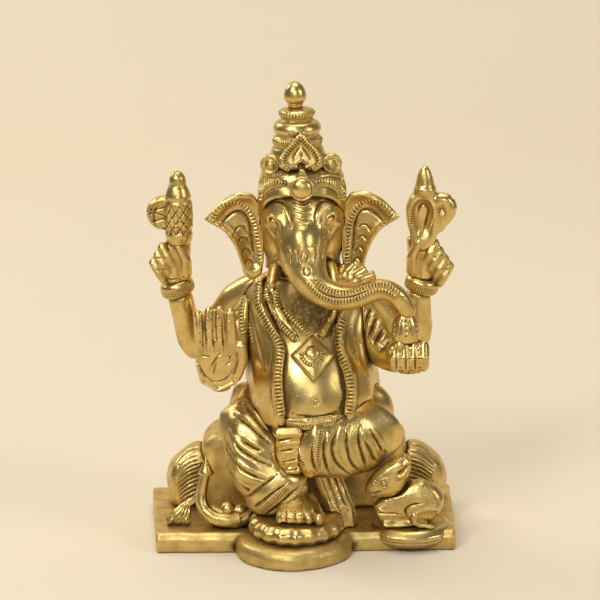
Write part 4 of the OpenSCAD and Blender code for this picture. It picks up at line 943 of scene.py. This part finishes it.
# %% Feet and hands
toe_gaps = [draw(2, 70, 25, 74.5, 52, 78), draw(8, 47, 30, 52, 57, 55.5),
            draw(18, 25, 40, 30, 62, 34.5), draw(28, 6, 50, 11, 70, 16)]
left_foot, right_foot = forms["left_foot"], forms["right_foot"]
chase(left_foot, "left_foot", *cuts(toe_gaps, 1.1, 0.7))
for i, nail in enumerate(draw(14, 85, 18, 61, 26, 38.5, 36, 19)):
    stud("left_nail_%d" % i, left_foot, "left_foot", nail, 0.75, 0.45)

low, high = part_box("lotus_footrest")
resize(forms["lotus_footrest"], (1.0, 1.10, 1.0), (0, 0, 0), (low.x, high.y, low.z))
toe_gaps = [[(x, 0.10), (x - 0.01, 0.30), (x - 0.02, 0.55)] for x in (0.22, 0.40, 0.575, 0.74)]
chase(right_foot, "right_foot", *cuts(toe_gaps, 1.0, 0.7))
for i, (x, radius) in enumerate(((0.13, 0.8), (0.31, 0.8), (0.49, 0.8), (0.66, 0.8), (0.86, 1.05))):
    stud("right_nail_%d" % i, right_foot, "right_foot", (x, 0.30), radius, 0.45)

palm = forms["blessing_hand"]
fingers = [[(x, 0.50), (x, 0.70), (x, top)]
           for x, top in ((0.10, 0.88), (0.27, 0.94), (0.455, 0.96), (0.635, 0.92))]
joint_heights = {0.13: (0.85, 0.72, 0.62), 0.265: (0.90, 0.76, 0.65), 0.46: (0.92, 0.79, 0.66),
                 0.63: (0.86, 0.73)}
joints = [smile(x, z, 0.05, 0.012) for x, heights in joint_heights.items() for z in heights]
creases = [draw(29, 30, 34, 37.5, 45, 46, 54, 48.5), draw(34, 22.5, 37.5, 32, 42, 40),
           draw(12, 47, 20, 44, 28, 46), draw(60, 45, 66, 42.5, 72, 45),
           draw(57, 35, 63, 36, 69, 39)]
gaps = [draw(17.5, 50, 18, 70, 18, 88), draw(36.5, 50, 36.5, 74, 36.5, 94),
        draw(54.5, 50, 54.5, 72, 54.5, 92)]
palm_edge = draw(7.5, 44, 10, 33, 17, 23.5, 27, 17.5, 38, 14.5, 50, 16, 61, 20.5, 71, 29)
chase(palm, "blessing_hand", *cuts(fingers, 3.4, -0.45))
chase(palm, "blessing_hand", *cuts(joints, 0.9, 0.45), *cuts(creases, 1.0, 0.45), *cuts(gaps, 1.0, 0.8))
chase(palm, "blessing_hand", (palm_edge, 1.1, 0.5))

closed_hand = forms["offering_hand"]
finger_x = (0.12, 0.335, 0.55, 0.76)
fingers = [[(x, 0.06), (x, 0.30), (x, 0.58)] for x in finger_x]
gaps = [[(x, 0.08), (x, 0.45), (x, 0.92)] for x in (0.228, 0.442, 0.655)]
joints = [smile(x, z, 0.07, 0.025) for x in finger_x for z in (0.30, 0.56)]
for strokes in (cuts(fingers, 3.2, -0.6), cuts(gaps, 0.9, 0.6), cuts(joints, 0.75, 0.35)):
    chase(closed_hand, "offering_hand", *strokes)
for i, x in enumerate(finger_x):
    stud("knuckle_%d" % i, closed_hand, "offering_hand", (x, 0.80), 0.85, 0.4)

seam = draw(26, 18, 31, 50, 40, 80)
chase(forms["modak"], "modak", *cuts([seam, flipped(seam)], 0.8, 0.45),
      *cuts([[(0.5, z)] for z in (0.25, 0.40, 0.55, 0.70)], 1.5, 0.5),
      *cuts([[(x, z)] for x in (0.14, 0.86) for z in (0.25, 0.40, 0.55)], 1.2, 0.4))

sleeve_grooves = [draw(12, 47, 22, 62, 33, 73), draw(22, 40, 31, 49, 42, 58),
                  draw(5, 62, 14, 76, 26, 86), draw(30, 30, 40, 38, 50, 46)]
sleeve_ridges = [draw(11, 53, 18, 68, 31, 81), draw(17, 44, 27, 56, 40, 68),
                 draw(26, 35, 36, 44, 48, 53)]
chase(forms["offering_arm"], "offering_arm", *cuts(sleeve_grooves, 2.0, 0.7), *cuts(sleeve_ridges, 2.6, -0.7))
print("hands and feet done:", len(finished))

# %% [markdown]
# The turned things in the rear hands get their ribs from a wave that runs round an axis, and the axe's socket gets
# two waves that cross, which leaves lozenges between them.

# %% Axe, noose and bracelets
axe = forms["axe"]
low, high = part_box("axe")
socket_radius, socket_band = 4.9, (3.6, 13.6)       # millimetres
socket = (high.x - socket_radius * MM, (low.y + high.y) / 2, low.z)
for twist in (1.65, -1.65):
    mill(axe, socket, (0, 0, 1), socket_band, 10, 0.42, twist, sharp=9)
chase(axe, "axe", (draw(33, 56, 22, 50, 17, 40, 20, 28, 30, 20), 1.0, 0.45),
      (draw(16, 54, 9, 44, 9, 32), 0.8, 0.35))

noose = forms["noose"]
eye_line = draw(23, 40, 26, 51, 35, 55.5, 43, 49, 39, 36.5, 33, 23)
loop_line = draw(12, 17, 10, 38, 13, 53, 27, 61.5, 45, 59.5, 53, 49, 50, 37, 42, 24)
chase(noose, "noose", (eye_line, 1.3, 0.6))
braid("noose_braid", noose, "noose", loop_line, width=1.5, height=0.5, pitch=0.8)

wrist_lean = 0.28       # radians
for node, side in (("right_bracelet", -1), ("left_bracelet", 1)):
    low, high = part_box(node)
    wrist = (math.sin(side * wrist_lean), -0.07, math.cos(wrist_lean))
    mill(forms[node], (low + high) / 2, wrist, (-1.9, 0.9), 46, 0.3)
for node, finger_x in (("axe_hand", (0.12, 0.24, 0.38)), ("noose_hand", (0.60, 0.74, 0.86))):
    joints = [smile(x, z, 0.06, 0.03) for x in finger_x for z in (0.38, 0.62)]
    chase(forms[node], node, *cuts(joints, 0.8, 0.35), (draw(30, 16, 50, 12, 72, 16), 1.0, 0.4))
print("hands' attributes done:", len(finished))

# %% [markdown]
# At the foot of the seat the work is coarser. The cushions get parallel pleats, the mouse a coat of fine slanting
# lines round its haunch, and the tassel a fan of strands. The spout beside the sweets is a bent horn with a turned
# hat, both made as closed tubes, because the bend is too tight for the form's own squares.

# %% Mouse, cushions and tassel
pleats = between(draw(92, 97, 55, 90, 22, 68), draw(92, 28, 60, 20, 28, 6), 11)
for node, turn in (("right_cushion", list), ("left_cushion", flipped)):
    chase(forms[node], node, *cuts(map(turn, pleats), 1.3, 0.45))

coat = between(draw(2, 52, 14, 40, 22, 33), draw(72, 97, 86, 66, 97, 38), 26)
mouse = forms["mouse_body"]
haunch = between(draw(50, 45, 54, 28), draw(80, 50, 88, 24), 8)
chase(mouse, "mouse_body", *cuts(coat, 0.8, 0.34), *cuts(haunch, 0.75, 0.22),
      (draw(70, 57, 55, 54.5, 44, 43, 46, 26), 1.5, 0.9),
      (draw(44, 14, 52, 9, 66, 8), 1.2, 0.6),
      (draw(2, 35, 13, 33, 37, 33), 1.3, 0.7))
snout = forms["mouse_head"]
chase(snout, "mouse_head", (draw(14, 12, 24, 17, 34, 22), 1.6, 0.9),
      (draw(70, 62, 84, 71, 97, 80), 1.7, 1.1),
      (draw(68, 52, 82, 60, 94, 70), 2.4, -0.8))
eye_ring = stud("mouse_eye_ring", snout, "mouse_head", (0.42, 0.43), 1.25, 0.28, ring=True)
eye = stud("mouse_eye", snout, "mouse_head", (0.42, 0.43), 0.85, 0.6)
chase(snout, "mouse_head", *cuts([draw(25, 47, 22, 42), draw(31, 40, 28, 35)], 0.8, 0.35))
low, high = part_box("mouse_head")
for piece in (snout, eye_ring, eye):
    resize(piece, (1.06, 1.0, 1.15), (-1.6, -0.4, 1.2), (low + high) / 2)

pad = forms["mouse_pad"]
low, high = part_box("mouse_pad")
resize(pad, (1.22, 1.08, 1.0), (0, 0, 0), (low + high) / 2)
chase(pad, "mouse_pad", (draw(-5, 55, 20, 42, 50, 36, 80, 42, 105, 55), 0.9, 0.4))

tassel = forms["fan_tassel"]
strands = between(draw(55, 62, 12, 22), draw(72, 55, 86, 6), 7)
chase(tassel, "fan_tassel", *cuts(strands, 0.8, 0.4))

horn_line = [(-33.4, -15.0, 24.6), (-34.9, -15.4, 18.5), (-34.6, -16.4, 13.6), (-31.6, -17.8, 10.4),
             (-27.0, -18.6, 9.3), (-21.8, -18.6, 9.8)]
spout = rope("spout_horn", horn_line, (1.5, 1.8, 2.2, 2.6, 2.6, 2.0))
hat_x, hat_y = -33.2, -15.0
hat_rings = [(0.1, 30.4), (0.5, 29.6), (1.2, 27.9), (2.1, 26.0), (2.7, 25.0), (2.5, 24.5), (1.2, 24.3),
             (0.1, 24.2)]
round_it = np.linspace(0, TAU, 32, endpoint=False)
hat = closed_rows("spout_hat", MM * np.array([[(hat_x + r * math.cos(a), hat_y + r * math.sin(a), z)
                                               for a in round_it] for r, z in hat_rings]))
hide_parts("bowl_spout")
bpy.data.objects.remove(forms.pop("bowl_spout"))
finish_piece(spout)
finish_piece(hat)
chase(forms["sweets_bowl"], "sweets_bowl", (draw(6, 72, 30, 42, 60, 38, 92, 66), 1.0, 0.4))
print("small things done:", len(finished))

# %% [markdown]
# What has no finish yet gets the same wax, painted shade and polish, in one loop so that no form is missed. The
# plinth and the seat get the duller brass, since fewer hands touch them.

# %% Wax, painted shade and polish on the rest
for node, piece in forms.items():
    if piece.name not in finished:
        finish_piece(piece, dull if node in ("seat_block", "base_plinth") else polished)
print("pieces:", len(finished))
